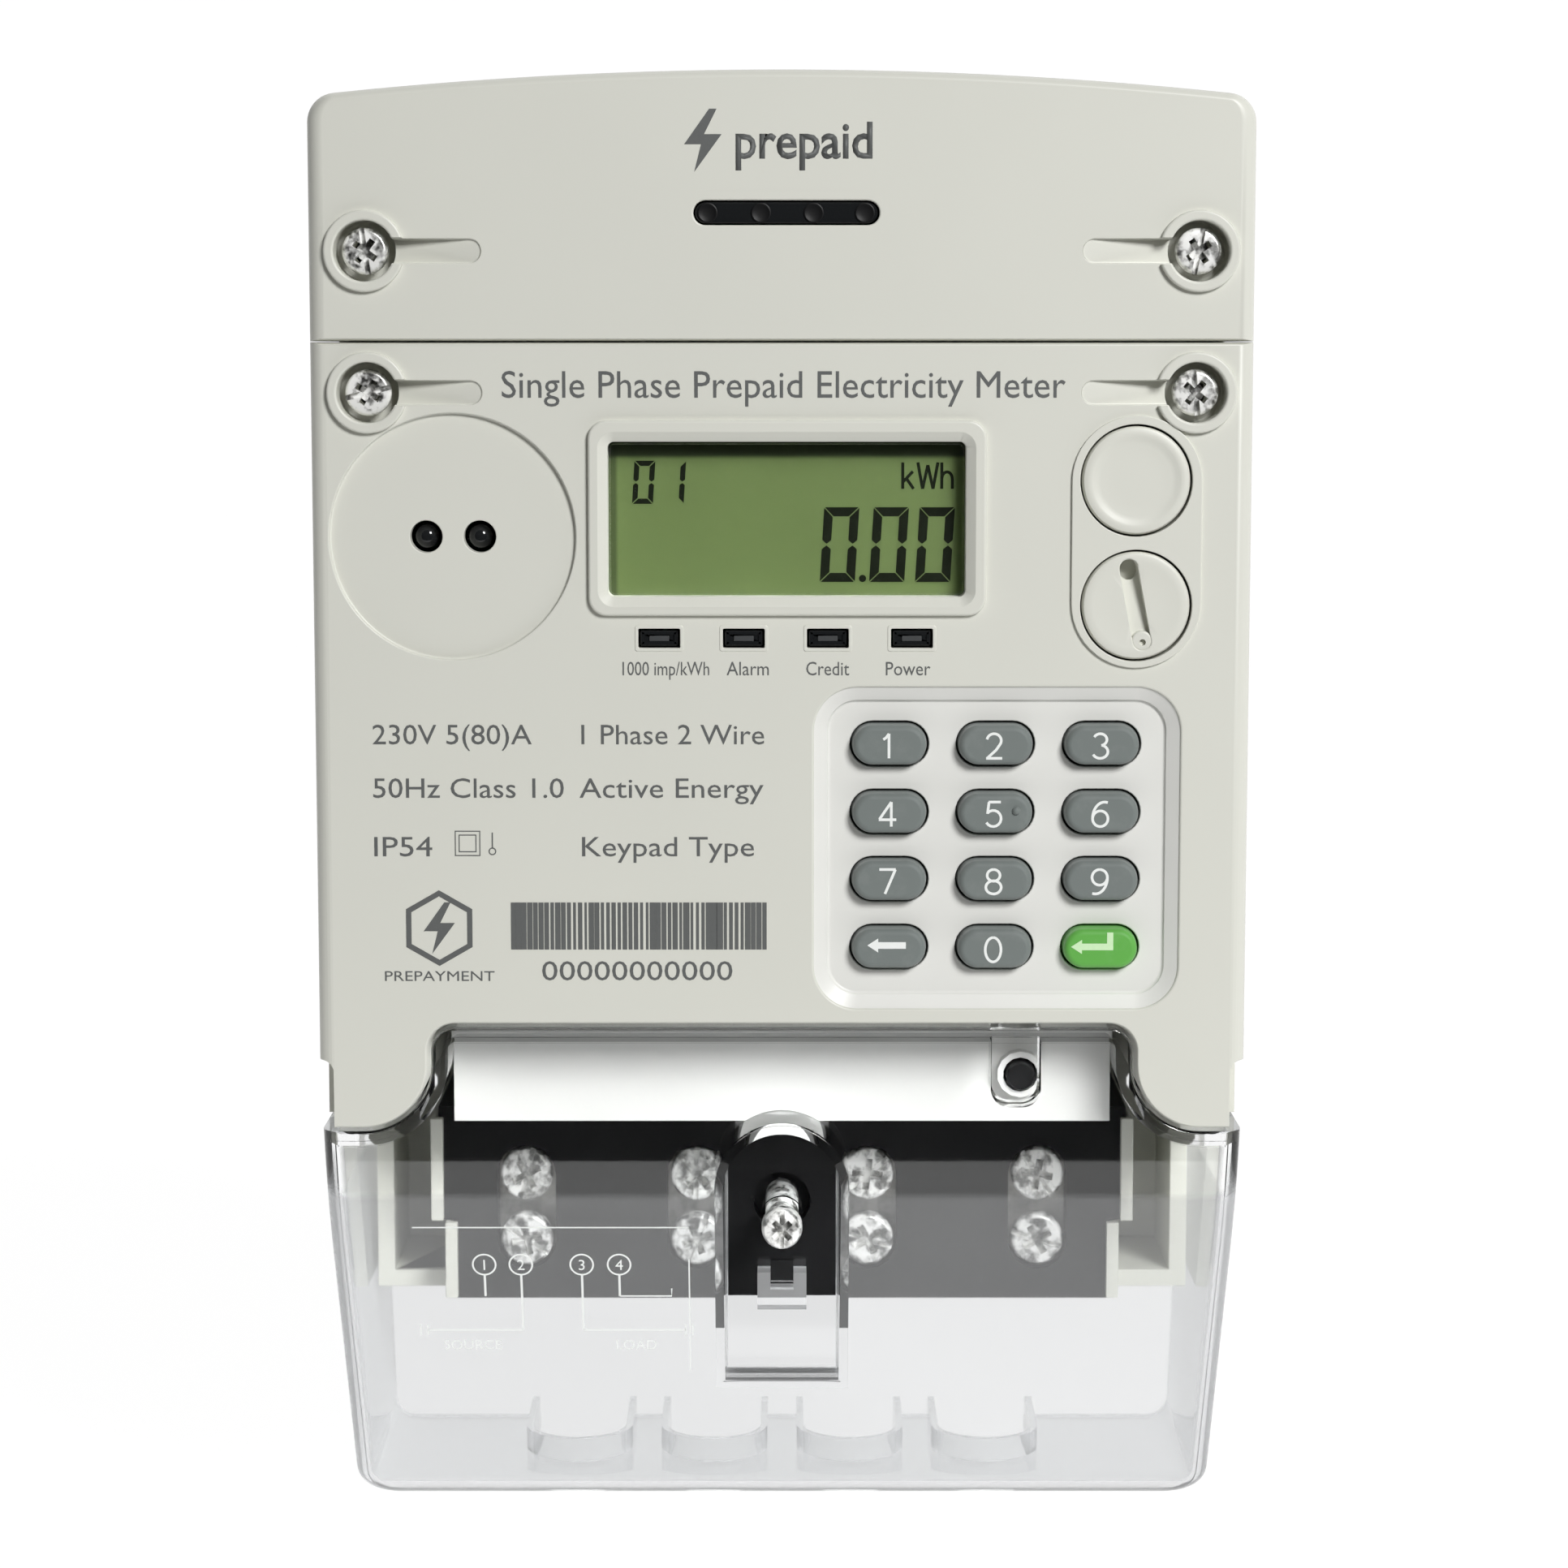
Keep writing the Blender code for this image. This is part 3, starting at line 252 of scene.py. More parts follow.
def printedInk(name, look):              # pad-printed ink, a little uneven in its coverage
    made = Shader(name, specular=look.get("specular", 0.4))
    cover = made.noise(look["scale"], 4.0, 0.7)
    made.set(
        colour=varied(made, cover, look),
        roughness=look["roughness"] + cover * 0.15,
    )
    made.bump(cover, 0.15, 0.01 * mm)
    return made.material


def circuitBoard(name):                  # green resist over copper tracks
    made = Shader(name, coat=0.35, coatRoughness=0.15)
    upright = made.node("ShaderNodeMapping", None, {"Vector": made.place, "Rotation": (math.pi / 2, 0, 0)})
    tracks = made.node("ShaderNodeTexBrick", {"offset": 0.37}, {
        "Vector": upright, "Scale": 160.0, "Mortar Size": 0.05, "Mortar Smooth": 0.2, "Brick Width": 1.3,
        "Row Height": 0.5}).out("Fac")
    grain = made.noise(700, 3.0)
    bare = made.blend(grain, (0.010, 0.105, 0.040, 1), (0.020, 0.165, 0.062, 1))
    made.set(colour=made.blend(tracks, bare, (0.045, 0.260, 0.100, 1)), roughness=0.38 + grain * 0.15)
    made.bump(tracks, 0.35, 0.05 * mm)
    return made.material


def enamel(name, look):                  # smooth painted, wound or wrapped parts inside the case
    made = Shader(name, coat=look.get("coat", 0.0))
    grain = made.noise(look.get("scale", 600), 3.0, 0.6)
    made.set(
        colour=made.blend(grain, shade(look["colour"], 0.85), shade(look["colour"], 1.12)),
        roughness=look["roughness"] + grain * 0.12,
    )
    made.bump(grain, 0.15, 0.03 * mm)
    return made.material


# ---- outlines, as lists of (x, z)

def arcPoints(x, z, radius, start, end, steps):
    angles = [math.radians(start + (end - start) * i / steps) for i in range(steps + 1)]
    return [(x + radius * math.cos(a), z + radius * math.sin(a)) for a in angles]


def circleOutline(x, z, radius, steps=48):
    return arcPoints(x, z, radius, 0, 360, steps)[:-1]


def roundCorners(corners, steps=10):     # corners are (x, z, radius)
    points = []
    for i, (x, z, radius) in enumerate(corners):
        here = Vector((x, z))
        before = (Vector(corners[i - 1][:2]) - here).normalized()
        after = (Vector(corners[(i + 1) % len(corners)][:2]) - here).normalized()
        if radius == 0:
            points.append((x, z))
            continue
        half = before.angle(after) / 2
        middle = here + (before + after).normalized() * radius / math.sin(half)
        first = here + before * radius / math.tan(half) - middle
        last = here + after * radius / math.tan(half) - middle
        start = math.degrees(math.atan2(first.y, first.x))
        sweep = (math.degrees(math.atan2(last.y, last.x)) - start + 180) % 360 - 180
        points += arcPoints(middle.x, middle.y, radius, start, start + sweep, steps)
    return points


def boxOutline(lowX, highX, lowZ, highZ, radius, steps=8):
    corners = ((lowX, lowZ), (highX, lowZ), (highX, highZ), (lowX, highZ))
    return roundCorners([(x, z, radius) for x, z in corners], steps)


def pillOutline(x, z, length, height, steps=12):
    if length < height:
        turned = pillOutline(z, x, height, length, steps)
        return [(b, a) for a, b in turned][::-1]
    radius = height / 2
    reach = length / 2 - radius
    return arcPoints(x + reach, z, radius, -90, 90, steps) + arcPoints(x - reach, z, radius, 90, 270, steps)


def insetOutline(outline, distance, weight=None):
    count = len(outline)
    area = sum(outline[i - 1][0] * outline[i][1] - outline[i][0] * outline[i - 1][1] for i in range(count))
    turn = 1 if area > 0 else -1
    moved = []
    for i, here in enumerate(outline):
        here = Vector(here)
        back = (here - Vector(outline[i - 1])).normalized()
        ahead = (Vector(outline[(i + 1) % count]) - here).normalized()
        one = Vector((-back.y, back.x)) * turn
        two = Vector((-ahead.y, ahead.x)) * turn
        step = (one + two) / (1 + one.dot(two)) * distance
        acrossShare, upShare = weight(here.x, here.y) if weight else (1, 1)
        moved.append((here.x + step.x * acrossShare, here.y + step.y * upShare))
    return moved


# ---- solids

def boxOf(node):
    low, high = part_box(node)
    return low / mm, high / mm


def middleOf(node):
    low, high = boxOf(node)
    return (low + high) / 2


def newObject(name, mesh, *materials):
    made = bpy.data.objects.new(name, mesh)
    bpy.context.scene.collection.objects.link(made)
    for material in materials:
        mesh.materials.append(material)
    return made


def objectFrom(name, work, *materials):  # work is in mm
    bmesh.ops.scale(work, vec=(mm, mm, mm), verts=work.verts)
    mesh = bpy.data.meshes.new(name)
    work.to_mesh(mesh)
    work.free()
    return newObject(name, mesh, *materials)


def loft(name, rings, *materials, closed=False):     # a closed solid through rings of points
    work = bmesh.new()
    loops = [[work.verts.new(point) for point in ring] for ring in rings]
    for one, two in zip(loops, loops[1:] + loops[:1] if closed else loops[1:]):
        for i in range(len(one)):
            work.faces.new((one[i - 1], one[i], two[i], two[i - 1]))
    if not closed:
        work.faces.new(loops[0])
        work.faces.new(loops[-1])
    bmesh.ops.recalc_face_normals(work, faces=work.faces)
    return objectFrom(name, work, *materials)


def layered(name, outline, layers, *materials, weight=None):      # layers are (inset, y)
    rings = [[(x, y, z) for x, z in insetOutline(outline, inset, weight)] for inset, y in layers]
    return loft(name, rings, *materials)


def softFront(front, back, radius, steps=6, backRadius=0.2):      # layers of a slab with rounded edges
    quarter = [math.radians(90 * i / steps) for i in range(steps + 1)]
    layers = [(radius * (1 - math.sin(a)), front + radius * (1 - math.cos(a))) for a in quarter]
    return layers + [(0, back - backRadius), (backRadius, back)]


def sinkLayers(face, floor, edge, slope=0.0, floorRound=0.0, steps=4):     # layers of a cutter from the front
    quarter = [math.radians(90 - 90 * i / steps) for i in range(steps + 1)]
    layers = [(-edge - 0.05, face - 1.5)]
    layers += [(-edge * (1 - math.cos(a)), face + edge * (1 - math.sin(a))) for a in quarter]
    if floorRound:
        for a in quarter[::-1]:
            layers.append((slope + floorRound * (1 - math.cos(a)), floor - floorRound * (1 - math.sin(a))))
    else:
        layers.append((slope, floor))
    return layers


def evaluatedMesh(piece):
    bpy.context.view_layer.update()
    graph = bpy.context.evaluated_depsgraph_get()
    return bpy.data.meshes.new_from_object(piece.evaluated_get(graph), preserve_all_data_layers=True,
                                           depsgraph=graph)


def settle(piece):                       # makes the modifiers' result the piece's own mesh
    mesh = evaluatedMesh(piece)
    piece.modifiers.clear()
    piece.data = mesh
    return piece


def combine(piece, tools, operation):
    holder = bpy.data.collections.new("tools")
    bpy.context.scene.collection.children.link(holder)
    for tool in tools:
        holder.objects.link(tool)
    modifier = piece.modifiers.new("tools", "BOOLEAN")
    modifier.operand_type = "COLLECTION"
    modifier.collection = holder
    modifier.operation = operation
    modifier.solver = "EXACT"
    settle(piece)
    for tool in tools:
        bpy.data.objects.remove(tool)
    bpy.data.collections.remove(holder)
    return piece


def carve(piece, *tools): return combine(piece, tools, "DIFFERENCE")


def fuse(piece, *tools): return combine(piece, tools, "UNION")


def smooth(piece, angle=32):
    piece.data.shade_smooth()
    piece.data.set_sharp_from_angle(angle=math.radians(angle))
    even = piece.modifiers.new("evenNormals", "WEIGHTED_NORMAL")
    even.keep_sharp = True
    return piece


def softened(piece, width, segments=2, angle=32):                 # rounds every sharp edge a little
    bevel = piece.modifiers.new("softEdges", "BEVEL")
    bevel.width = width * mm
    bevel.segments = segments
    bevel.limit_method = "ANGLE"
    bevel.angle_limit = math.radians(angle)
    bevel.use_clamp_overlap = True
    settle(piece)
    return smooth(piece)


def boxSolid(name, low, high, *materials):
    work = bmesh.new()
    low, high = Vector(low), Vector(high)
    place = Matrix.Translation((low + high) / 2) @ Matrix.Diagonal((*(high - low), 1))
    bmesh.ops.create_cube(work, size=1, matrix=place)
    return objectFrom(name, work, *materials)


def drumSolid(name, x, z, radius, front, back, *materials, steps=48):
    ring = circleOutline(x, z, radius, steps)
    return loft(name, [[(a, front, b) for a, b in ring], [(a, back, b) for a, b in ring]], *materials)


def turnedRings(x, z, profile, steps=40):                         # profile is (radius, y) from the front
    return [[(a, y, b) for a, b in circleOutline(x, z, radius, steps)] for radius, y in profile]


def joined(name, pieces):
    work = bmesh.new()
    materials = []
    for piece in pieces:
        start = len(work.faces)
        work.from_mesh(piece.data)
        work.faces.ensure_lookup_table()
        for face in work.faces[start:]:
            material = piece.data.materials[face.material_index]
            if material not in materials:
                materials.append(material)
            face.material_index = materials.index(material)
        bpy.data.objects.remove(piece)
    mesh = bpy.data.meshes.new(name)
    work.to_mesh(mesh)
    work.free()
    return newObject(name, mesh, *materials)


def printed(text, x, z, height, face, material, width=None, centred=False, thickness=0.03, weight=0.0):
    font = bpy.data.curves.new("words", "FONT")
    font.body = text
    font.resolution_u = 3
    font.fill_mode = "BOTH"
    font.offset = weight
    drawn = bpy.data.objects.new("words", font)
    bpy.context.scene.collection.objects.link(drawn)
    mesh = evaluatedMesh(drawn)
    bpy.data.objects.remove(drawn)
    bpy.data.curves.remove(font)
    work = bmesh.new()
    work.from_mesh(mesh)
    bmesh.ops.remove_doubles(work, verts=work.verts, dist=0.0005)
    bmesh.ops.dissolve_limit(work, angle_limit=0.01, verts=work.verts, edges=work.edges)
    xs = [v.co.x for v in work.verts]
    capHeight = 0.73                     # of the built-in font at size 1
    tall = height / capHeight
    wide = width / (max(xs) - min(xs)) if width else tall
    start = x - (max(xs) + min(xs)) / 2 * wide if centred else x - min(xs) * wide
    for vert in work.verts:
        vert.co = (start + vert.co.x * wide, face, z + vert.co.y * tall)
    front = bmesh.ops.extrude_face_region(work, geom=list(work.faces))
    raised = [v for v in front["geom"] if isinstance(v, bmesh.types.BMVert)]
    bmesh.ops.translate(work, vec=(0, -thickness, 0), verts=raised)
    bmesh.ops.recalc_face_normals(work, faces=work.faces)
    return objectFrom("words", work, material)


def stroke(name, points, width, face, material, thickness=0.03, closed=False):     # a flat printed line
    rings = []
    count = len(points)
    for i, here in enumerate(points):
        here = Vector(here)
        ahead, behind = ((i + 1) % count, i - 1) if closed else (min(i + 1, count - 1), max(i - 1, 0))
        along = Vector(points[ahead]) - Vector(points[behind])
        side = Vector((-along.y, along.x)).normalized() * width / 2
        one, two, front = here + side, here - side, face - thickness
        corners = ((one, front), (two, front), (two, face), (one, face))
        rings.append([(corner.x, y, corner.y) for corner, y in corners])
    return loft(name, rings, material, closed=closed)


def curl(x, z, wide, tall, start, end, steps=14):
    return [(x + wide * a, z + tall * b) for a, b in arcPoints(0, 0, 1, start, end, steps)]


penStrokes = {                           # drawn in a box one wide and one tall
    "0": [curl(0.5, 0.5, 0.44, 0.5, 90, 450, 32)],
    "1": [[(0.24, 0.76), (0.40, 0.84), (0.56, 1.0)], [(0.56, 1.0), (0.56, 0.0)]],
    "2": [curl(0.48, 0.72, 0.40, 0.28, 170, -30) + [(0.60, 0.34), (0.10, 0.0)], [(0.04, 0.0), (0.94, 0.0)]],
    "3": [curl(0.46, 0.76, 0.37, 0.24, 155, -80), curl(0.46, 0.27, 0.43, 0.27, 80, -155)],
    "4": [[(0.70, 0.0), (0.70, 1.0)], [(0.70, 1.0), (0.04, 0.30)], [(0.0, 0.28), (0.98, 0.28)]],
    "5": [[(0.88, 1.0), (0.20, 1.0)], [(0.22, 1.0), (0.14, 0.52)], curl(0.46, 0.33, 0.44, 0.33, 138, -150)],
    "6": [curl(0.5, 0.32, 0.43, 0.32, 90, 450, 28), curl(0.74, 0.34, 0.67, 0.66, 75, 180)],
    "7": [[(0.04, 1.0), (0.96, 1.0)], [(0.94, 1.0), (0.36, 0.0)]],
    "8": [curl(0.5, 0.76, 0.36, 0.24, 90, 450, 24), curl(0.5, 0.27, 0.43, 0.27, 90, 450, 28)],
    "9": [curl(0.5, 0.68, 0.43, 0.32, 90, 450, 28), curl(0.26, 0.66, 0.67, 0.66, -105, 0)],
    "k": [[(0.06, 1.0), (0.06, 0.0)], [(0.86, 0.66), (0.08, 0.26)], [(0.34, 0.40), (0.92, 0.0)]],
    "W": [[(0.0, 1.0), (0.24, 0.0)], [(0.24, 0.0), (0.5, 0.9)],
          [(0.5, 0.9), (0.76, 0.0)], [(0.76, 0.0), (1.0, 1.0)]],
    "h": [[(0.06, 1.0), (0.06, 0.0)], curl(0.48, 0.36, 0.42, 0.28, 180, 0) + [(0.90, 0.0)]],
}


def written(letter, x, z, width, height, pen, face, material):     # one letter in even pen strokes
    paths = [[(x + a * width, z + b * height) for a, b in path] for path in penStrokes[letter]]
    return [stroke("pen", path, pen, face, material, thickness=0.03 + 0.004 * i)      # each a little thicker
            for i, path in enumerate(paths)]


def polish(name, material, width=0.25, segments=2):               # a CAD node kept as it is, with soft edges
    piece = nodes[name]
    weld = piece.modifiers.new("weld", "WELD")
    weld.merge_threshold = 0.004 * mm
    flat = piece.modifiers.new("flatFaces", "DECIMATE")
    flat.decimate_type = "DISSOLVE"
    flat.angle_limit = math.radians(1)
    if width:
        bevel = piece.modifiers.new("softEdges", "BEVEL")
        bevel.width = width * mm
        bevel.segments = segments
        bevel.limit_method = "ANGLE"
        bevel.angle_limit = math.radians(40)
    even = piece.modifiers.new("evenNormals", "WEIGHTED_NORMAL")
    even.keep_sharp = True
    piece.data.shade_smooth()
    piece.data.materials.clear()
    piece.data.materials.append(material)
    return piece


def mount(piece, body, slot, *replaced):
    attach(piece, body)
    if replaced:
        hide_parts(*replaced)
    return piece


# ---- finishes

caseLook = {"colour": (0.690, 0.692, 0.628), "variation": 0.018, "roughness": 0.40, "roughnessSpread": 0.10,
            "cloudScale": 35, "grainScale": 2200, "bump": 0.16}
casePlastic = mouldedPlastic("casePlastic", caseLook)
whitePlastic = mouldedPlastic("whitePlastic", {**caseLook, "colour": (0.76, 0.76, 0.74), "roughness": 0.36})
keypadPlastic = mouldedPlastic("keypadPlastic", {**caseLook, "colour": (0.77, 0.77, 0.735),
                                                 "roughness": 0.38})
blackPlastic = mouldedPlastic("blackPlastic", {**caseLook, "colour": (0.008, 0.008, 0.0085), "variation": 0.2,
                                               "roughness": 0.46, "bump": 0.08, "specular": 0.2})
smokedPlastic = mouldedPlastic("smokedPlastic", {**caseLook, "colour": (0.012, 0.013, 0.014),
                                                 "variation": 0.2, "roughness": 0.10, "roughnessSpread": 0.06,
                                                 "bump": 0.03})
# the white mixed in below the knee is a painted reflection on the sloping front and its side edges; the lug's
# white is its own
clearCover = clearPlastic("clearCover", {"colour": (0.975, 0.980, 0.980, 1), "belowKneeColour": (0.785, 0.79, 0.795, 1),
                                         "ior": 1.50, "milkAndReflection": (0.80, 0.81, 0.82, 1), "reflectionStrength": 0.070,
                                         "reflectionTop": -51.6, "edgeReflection": 0.16, "lug": (-72.0, -66.3, -42.4),
                                         "lugVeil": 0.32, "channelHalf": 7.7, "channelEnd": -81.3,
                                         "roughness": 0.02, "roughnessSpread": 0.05, "hazeScale": 60,
                                         "waveScale": 90, "bump": 0.10, "shadow": (0.97, 0.975, 0.975, 1)})
clearPane = clearPlastic("clearPane", {"colour": (0.97, 0.98, 0.97, 1), "ior": 1.46, "roughness": 0.01,
                                       "roughnessSpread": 0.02, "hazeScale": 80, "waveScale": 60,
                                       "bump": 0.05, "shadow": (0.90, 0.91, 0.90, 1)})
greyRubber = rubber("greyRubber", {"colour": (0.175, 0.198, 0.190, 1), "roughness": 0.58, "dust": 0.10,
                                   "dustColour": (0.45, 0.46, 0.44, 1)})
greenRubber = rubber("greenRubber", {"colour": (0.120, 0.420, 0.070, 1), "roughness": 0.52, "dust": 0.08,
                                     "dustColour": (0.45, 0.60, 0.40, 1)})
# zinc: the cloudy patches are the plating's own, their near-white diffuse brightness a painted reflection of
# the front light on the screws
zincPlate = platedMetal("zincPlate", {"dark": (0.40, 0.40, 0.385, 1), "bright": (0.97, 0.97, 0.95, 1),
                                      "roughness": 0.20, "cloudScale": 620, "bump": 0.6, "diffuseShare": 0.85})
tinPlate = platedMetal("tinPlate", {"dark": (0.55, 0.54, 0.50, 1), "bright": (0.82, 0.81, 0.77, 1),
                                    "roughness": 0.22, "cloudScale": 300, "bump": 0.3, "diffuseShare": 0.2})
copperBar = platedMetal("copperBar", {"dark": (0.55, 0.25, 0.13, 1), "bright": (0.80, 0.45, 0.28, 1),
                                      "roughness": 0.25, "cloudScale": 300, "bump": 0.3, "diffuseShare": 0.1})
# dark is the colour of the painted shadow bands, bright the panel's own olive
displayGreen = displayGlass("displayGreen", {"dark": (0.008, 0.012, 0.005, 1),
                                             "bright": (0.104, 0.144, 0.050, 1), "topShade": 1.75,
                                             "leftShade": -0.75})
segmentBlack = printedInk("segmentBlack", {"colour": (0.006, 0.008, 0.004), "specular": 0.1, "variation": 0.2,
                                           "roughness": 0.35, "scale": 900})
greyInk = printedInk("greyInk", {"colour": (0.115, 0.120, 0.118), "variation": 0.10, "roughness": 0.45,
                                 "scale": 1500})
whiteInk = printedInk("whiteInk", {"colour": (0.86, 0.88, 0.86), "variation": 0.05, "roughness": 0.45,
                                   "scale": 1500})
paleGreenInk = printedInk("paleGreenInk", {"colour": (0.62, 0.85, 0.52), "variation": 0.05, "roughness": 0.45,
                                           "scale": 1500})
boardGreen = circuitBoard("boardGreen")
print("finishes made")


# ---- case: front cover

screwSeat = {"ring": 5.5, "pocket": 4.1, "floor": -55.2, "hole": 1.8, "slotEnd": 42.2, "slotHalf": 1.65,
             "slotShallow": 0.45, "slotDeep": 2.7}


def crownOutline():
    radius, corner, crown = meter["crownRadius"], meter["crownCorner"], meter["crown"]
    cornerX = meter["halfWidth"] - corner
    cornerZ = crown - radius + math.sqrt((radius - corner) ** 2 - cornerX**2)
    lean = math.degrees(math.asin(cornerX / (radius - corner)))
    right = arcPoints(cornerX, cornerZ, corner, 0, 90 - lean, 10)
    top = arcPoints(0, crown - radius, radius, 90 - lean, 90 + lean, 40)
    left = arcPoints(-cornerX, cornerZ, corner, 90 + lean, 180, 10)
    return right + top[1:-1] + left


def frontOutline():
    half, edge, top, tongue = meter["halfWidth"], meter["shoulder"], meter["tongueTop"], meter["tongueHalf"]
    right = [(tongue, top, meter["tongueRound"]), (tongue, edge, meter["shoulderRound"]), (half, edge, 0),
             (half, meter["seam"] - meter["seamHalf"], 0)]
    left = [(-x, z, r) for x, z, r in reversed(right)]
    return roundCorners(left + right, 14)


def sideShare(small, top=None):          # how far the front edge rounds in, by where the edge is
    def share(x, z):
        across = 1.0 if abs(x) > 60 else small
        return across, (top if top and z > 85 else small)
    return share


def shell(name, outline, share):
    layers = softFront(meter["front"], meter["split"] - meter["gap"], meter["frontRound"], 8)
    body = layered(name, outline, layers, casePlastic, weight=share)
    hollow = [(meter["wall"], meter["front"] + meter["skin"]), (meter["wall"], meter["split"] + 2)]
    return carve(body, layered("hollow", outline, hollow))


def seatCutters(place):
    x, z = place
    face = meter["front"] - meter["proud"]
    floor = screwSeat["floor"]
    pocketLayers = sinkLayers(face, floor, 0.35, floorRound=0.3)
    pocket = layered("pocket", circleOutline(x, z, screwSeat["pocket"]), pocketLayers)
    hole = drumSolid("hole", x, z, screwSeat["hole"], floor - 1, floor + 4, steps=20)
    inner = math.copysign(screwSeat["slotEnd"], x)
    middle, length = (inner + x) / 2, abs(x - inner) + 2 * screwSeat["slotHalf"]
    slotShape = pillOutline(middle, z, length, 2 * screwSeat["slotHalf"])
    shallow = meter["front"] + screwSeat["slotShallow"]
    slot = layered("slot", slotShape, sinkLayers(meter["front"], shallow, 0.12, floorRound=0.2))
    deep = screwSeat["slotDeep"] - screwSeat["slotShallow"]
    for vert in slot.data.vertices:      # the slot's floor falls towards the pocket
        if vert.co.y > (meter["front"] + 0.2) * mm:
            vert.co.y += deep * mm * (abs(vert.co.x) / mm - screwSeat["slotEnd"]) / abs(x - inner)
    return [pocket, hole, slot]


def seatRings(place):
    x, z = place
    face = meter["front"] - meter["proud"]
    ring = circleOutline(x, z, screwSeat["ring"], 64)
    return layered("ring", ring, softFront(face, screwSeat["floor"] + 2, 0.35, 4))


def seatsAt(*screws):
    places = [(middleOf(name).x, middleOf(name).z) for name in screws]
    return [seatRings(p) for p in places], [tool for p in places for tool in seatCutters(p)]


frontFace = {
    "bezel": (-26.3, 27.8, 28.4, 54.9, 2.5), "window": (-23.66, 24.99, 30.95, 51.98, 0.9),
    "portRadius": 16.75, "portSunk": 0.8, "eyeRadius": 2.2,
    "lampSize": (5.7, 2.66), "lampLip": 0.45,
    "plate": (48.2, 38.4, 17.65, 34.3), "plateRise": 0.5, "buttonHole": 7.62,
    "keypad": (4.4, 54.5, -25.9, 18.57, 6.0), "keypadFloor": -58.2, "keypadSlope": 1.8,
    "keyHole": (10.9, 6.3), "scoopTop": -33.2, "scoopInner": 61.9,
}
lampNames = ("pulse_lens", "alarm_lens", "credit_lens", "power_lens")
keyNames = [f"key_{k}" for k in ("1", "2", "3", "4", "5", "6", "7", "8", "9", "back", "0", "enter")]


def frontCover():
    face = meter["front"]
    through = face + 5
    cover = shell("front_shell", frontOutline(), sideShare(0.22))
    bezelFace = face - meter["proud"]
    bezel = layered("bezel", boxOutline(*frontFace["bezel"]), softFront(bezelFace, face + 1, 0.4, 4))
    plateLayers = softFront(face - frontFace["plateRise"], face + 1, 0.14, 3)
    plate = layered("plate", pillOutline(*frontFace["plate"], 24), plateLayers)
    lips = []
    width, height = frontFace["lampSize"]
    lip = frontFace["lampLip"]
    for name in lampNames:
        at = middleOf(name)
        across, up = width / 2 + lip, height / 2 + lip
        frameShape = boxOutline(at.x - across, at.x + across, at.z - up, at.z + up, 0.35, 4)
        lips.append(layered("lip", frameShape, softFront(face - 0.12, face + 1, 0.1, 2)))
    rings, seats = seatsAt("cover_screw_left", "cover_screw_right")
    fuse(cover, bezel, plate, *lips)
    fuse(cover, *rings)
    cutters = list(seats)
    windowLayers = [(-1.45, bezelFace - 1), (-1.35, bezelFace), (-0.15, bezelFace + 0.75),
                    (0, bezelFace + 0.95), (0, through)]
    cutters.append(layered("windowHole", boxOutline(*frontFace["window"]), windowLayers))
    emitter, receiver = middleOf("ir_emitter"), middleOf("ir_receiver")
    portX = (emitter.x + receiver.x) / 2
    portShape = circleOutline(portX, emitter.z, frontFace["portRadius"], 120)
    portFloor = face + frontFace["portSunk"]
    cutters.append(layered("port", portShape, sinkLayers(face, portFloor, 0.22, floorRound=0.25)))
    for at in (emitter, receiver):
        hole = circleOutline(at.x, at.z, frontFace["eyeRadius"], 40)
        cutters.append(layered("eye", hole, sinkLayers(portFloor, through, 0.15)))
    for name in lampNames:
        at = middleOf(name)
        hole = boxOutline(at.x - width / 2, at.x + width / 2, at.z - height / 2, at.z + height / 2, 0.2, 3)
        cutters.append(layered("lampHole", hole, sinkLayers(face - 0.12, through, 0.12)))
    for name in ("display_button", "service_cap"):
        at = middleOf(name)
        hole = circleOutline(at.x, at.z, frontFace["buttonHole"], 72)
        cutters.append(layered("buttonHole", hole, sinkLayers(face - frontFace["plateRise"], through, 0.12)))
    pad = boxOutline(*frontFace["keypad"], 14)
    padFloor = frontFace["keypadFloor"]
    padLayers = sinkLayers(face, padFloor, 0.35, slope=frontFace["keypadSlope"], floorRound=0.5)
    cutters.append(layered("keypad", pad, padLayers))
    for name in keyNames:
        at = middleOf(name)
        hole = pillOutline(at.x, at.z, *frontFace["keyHole"], 14)
        cutters.append(layered("keyHole", hole, sinkLayers(padFloor, through, 0.18)))
    low, inner = meter["shoulder"] - 2, frontFace["scoopInner"]
    for side in (-1, 1):
        corners = [(side * inner, low, 0), (side * 68, low, 0), (side * 68, frontFace["scoopTop"], 0),
                   (side * inner, frontFace["scoopTop"], 1.6)]
        scoop = roundCorners(corners, 8)
        cutters.append(layered("scoop", scoop, [(0, face - 2), (0, face + 9), (0.8, face + 12)]))
    carve(cover, *cutters)
    cover.data.materials.append(keypadPlastic)
    lowX, highX, lowZ, highZ, _ = frontFace["keypad"]
    for polygon in cover.data.polygons:  # the keypad's recess is paler than the case
        at = polygon.center / mm
        if lowX < at.x < highX and lowZ < at.z < highZ and at.y > face + 0.4:
            polygon.material_index = 1
    return mount(smooth(cover), "case", "case_plastic", "front_cover")


frontCover()
print("front cover made")


# ---- case: module cover

moduleFace = {"window": (0.63, 82.7, 25.1, 3.3), "windowGap": 0.5, "lampX": (-10.0, -2.8, 4.3, 11.2),
              "lampRings": ((1.35, 0.1), (1.35, -0.12), (1.20, -0.18), (0.98, -0.10), (0.50, -0.02))}


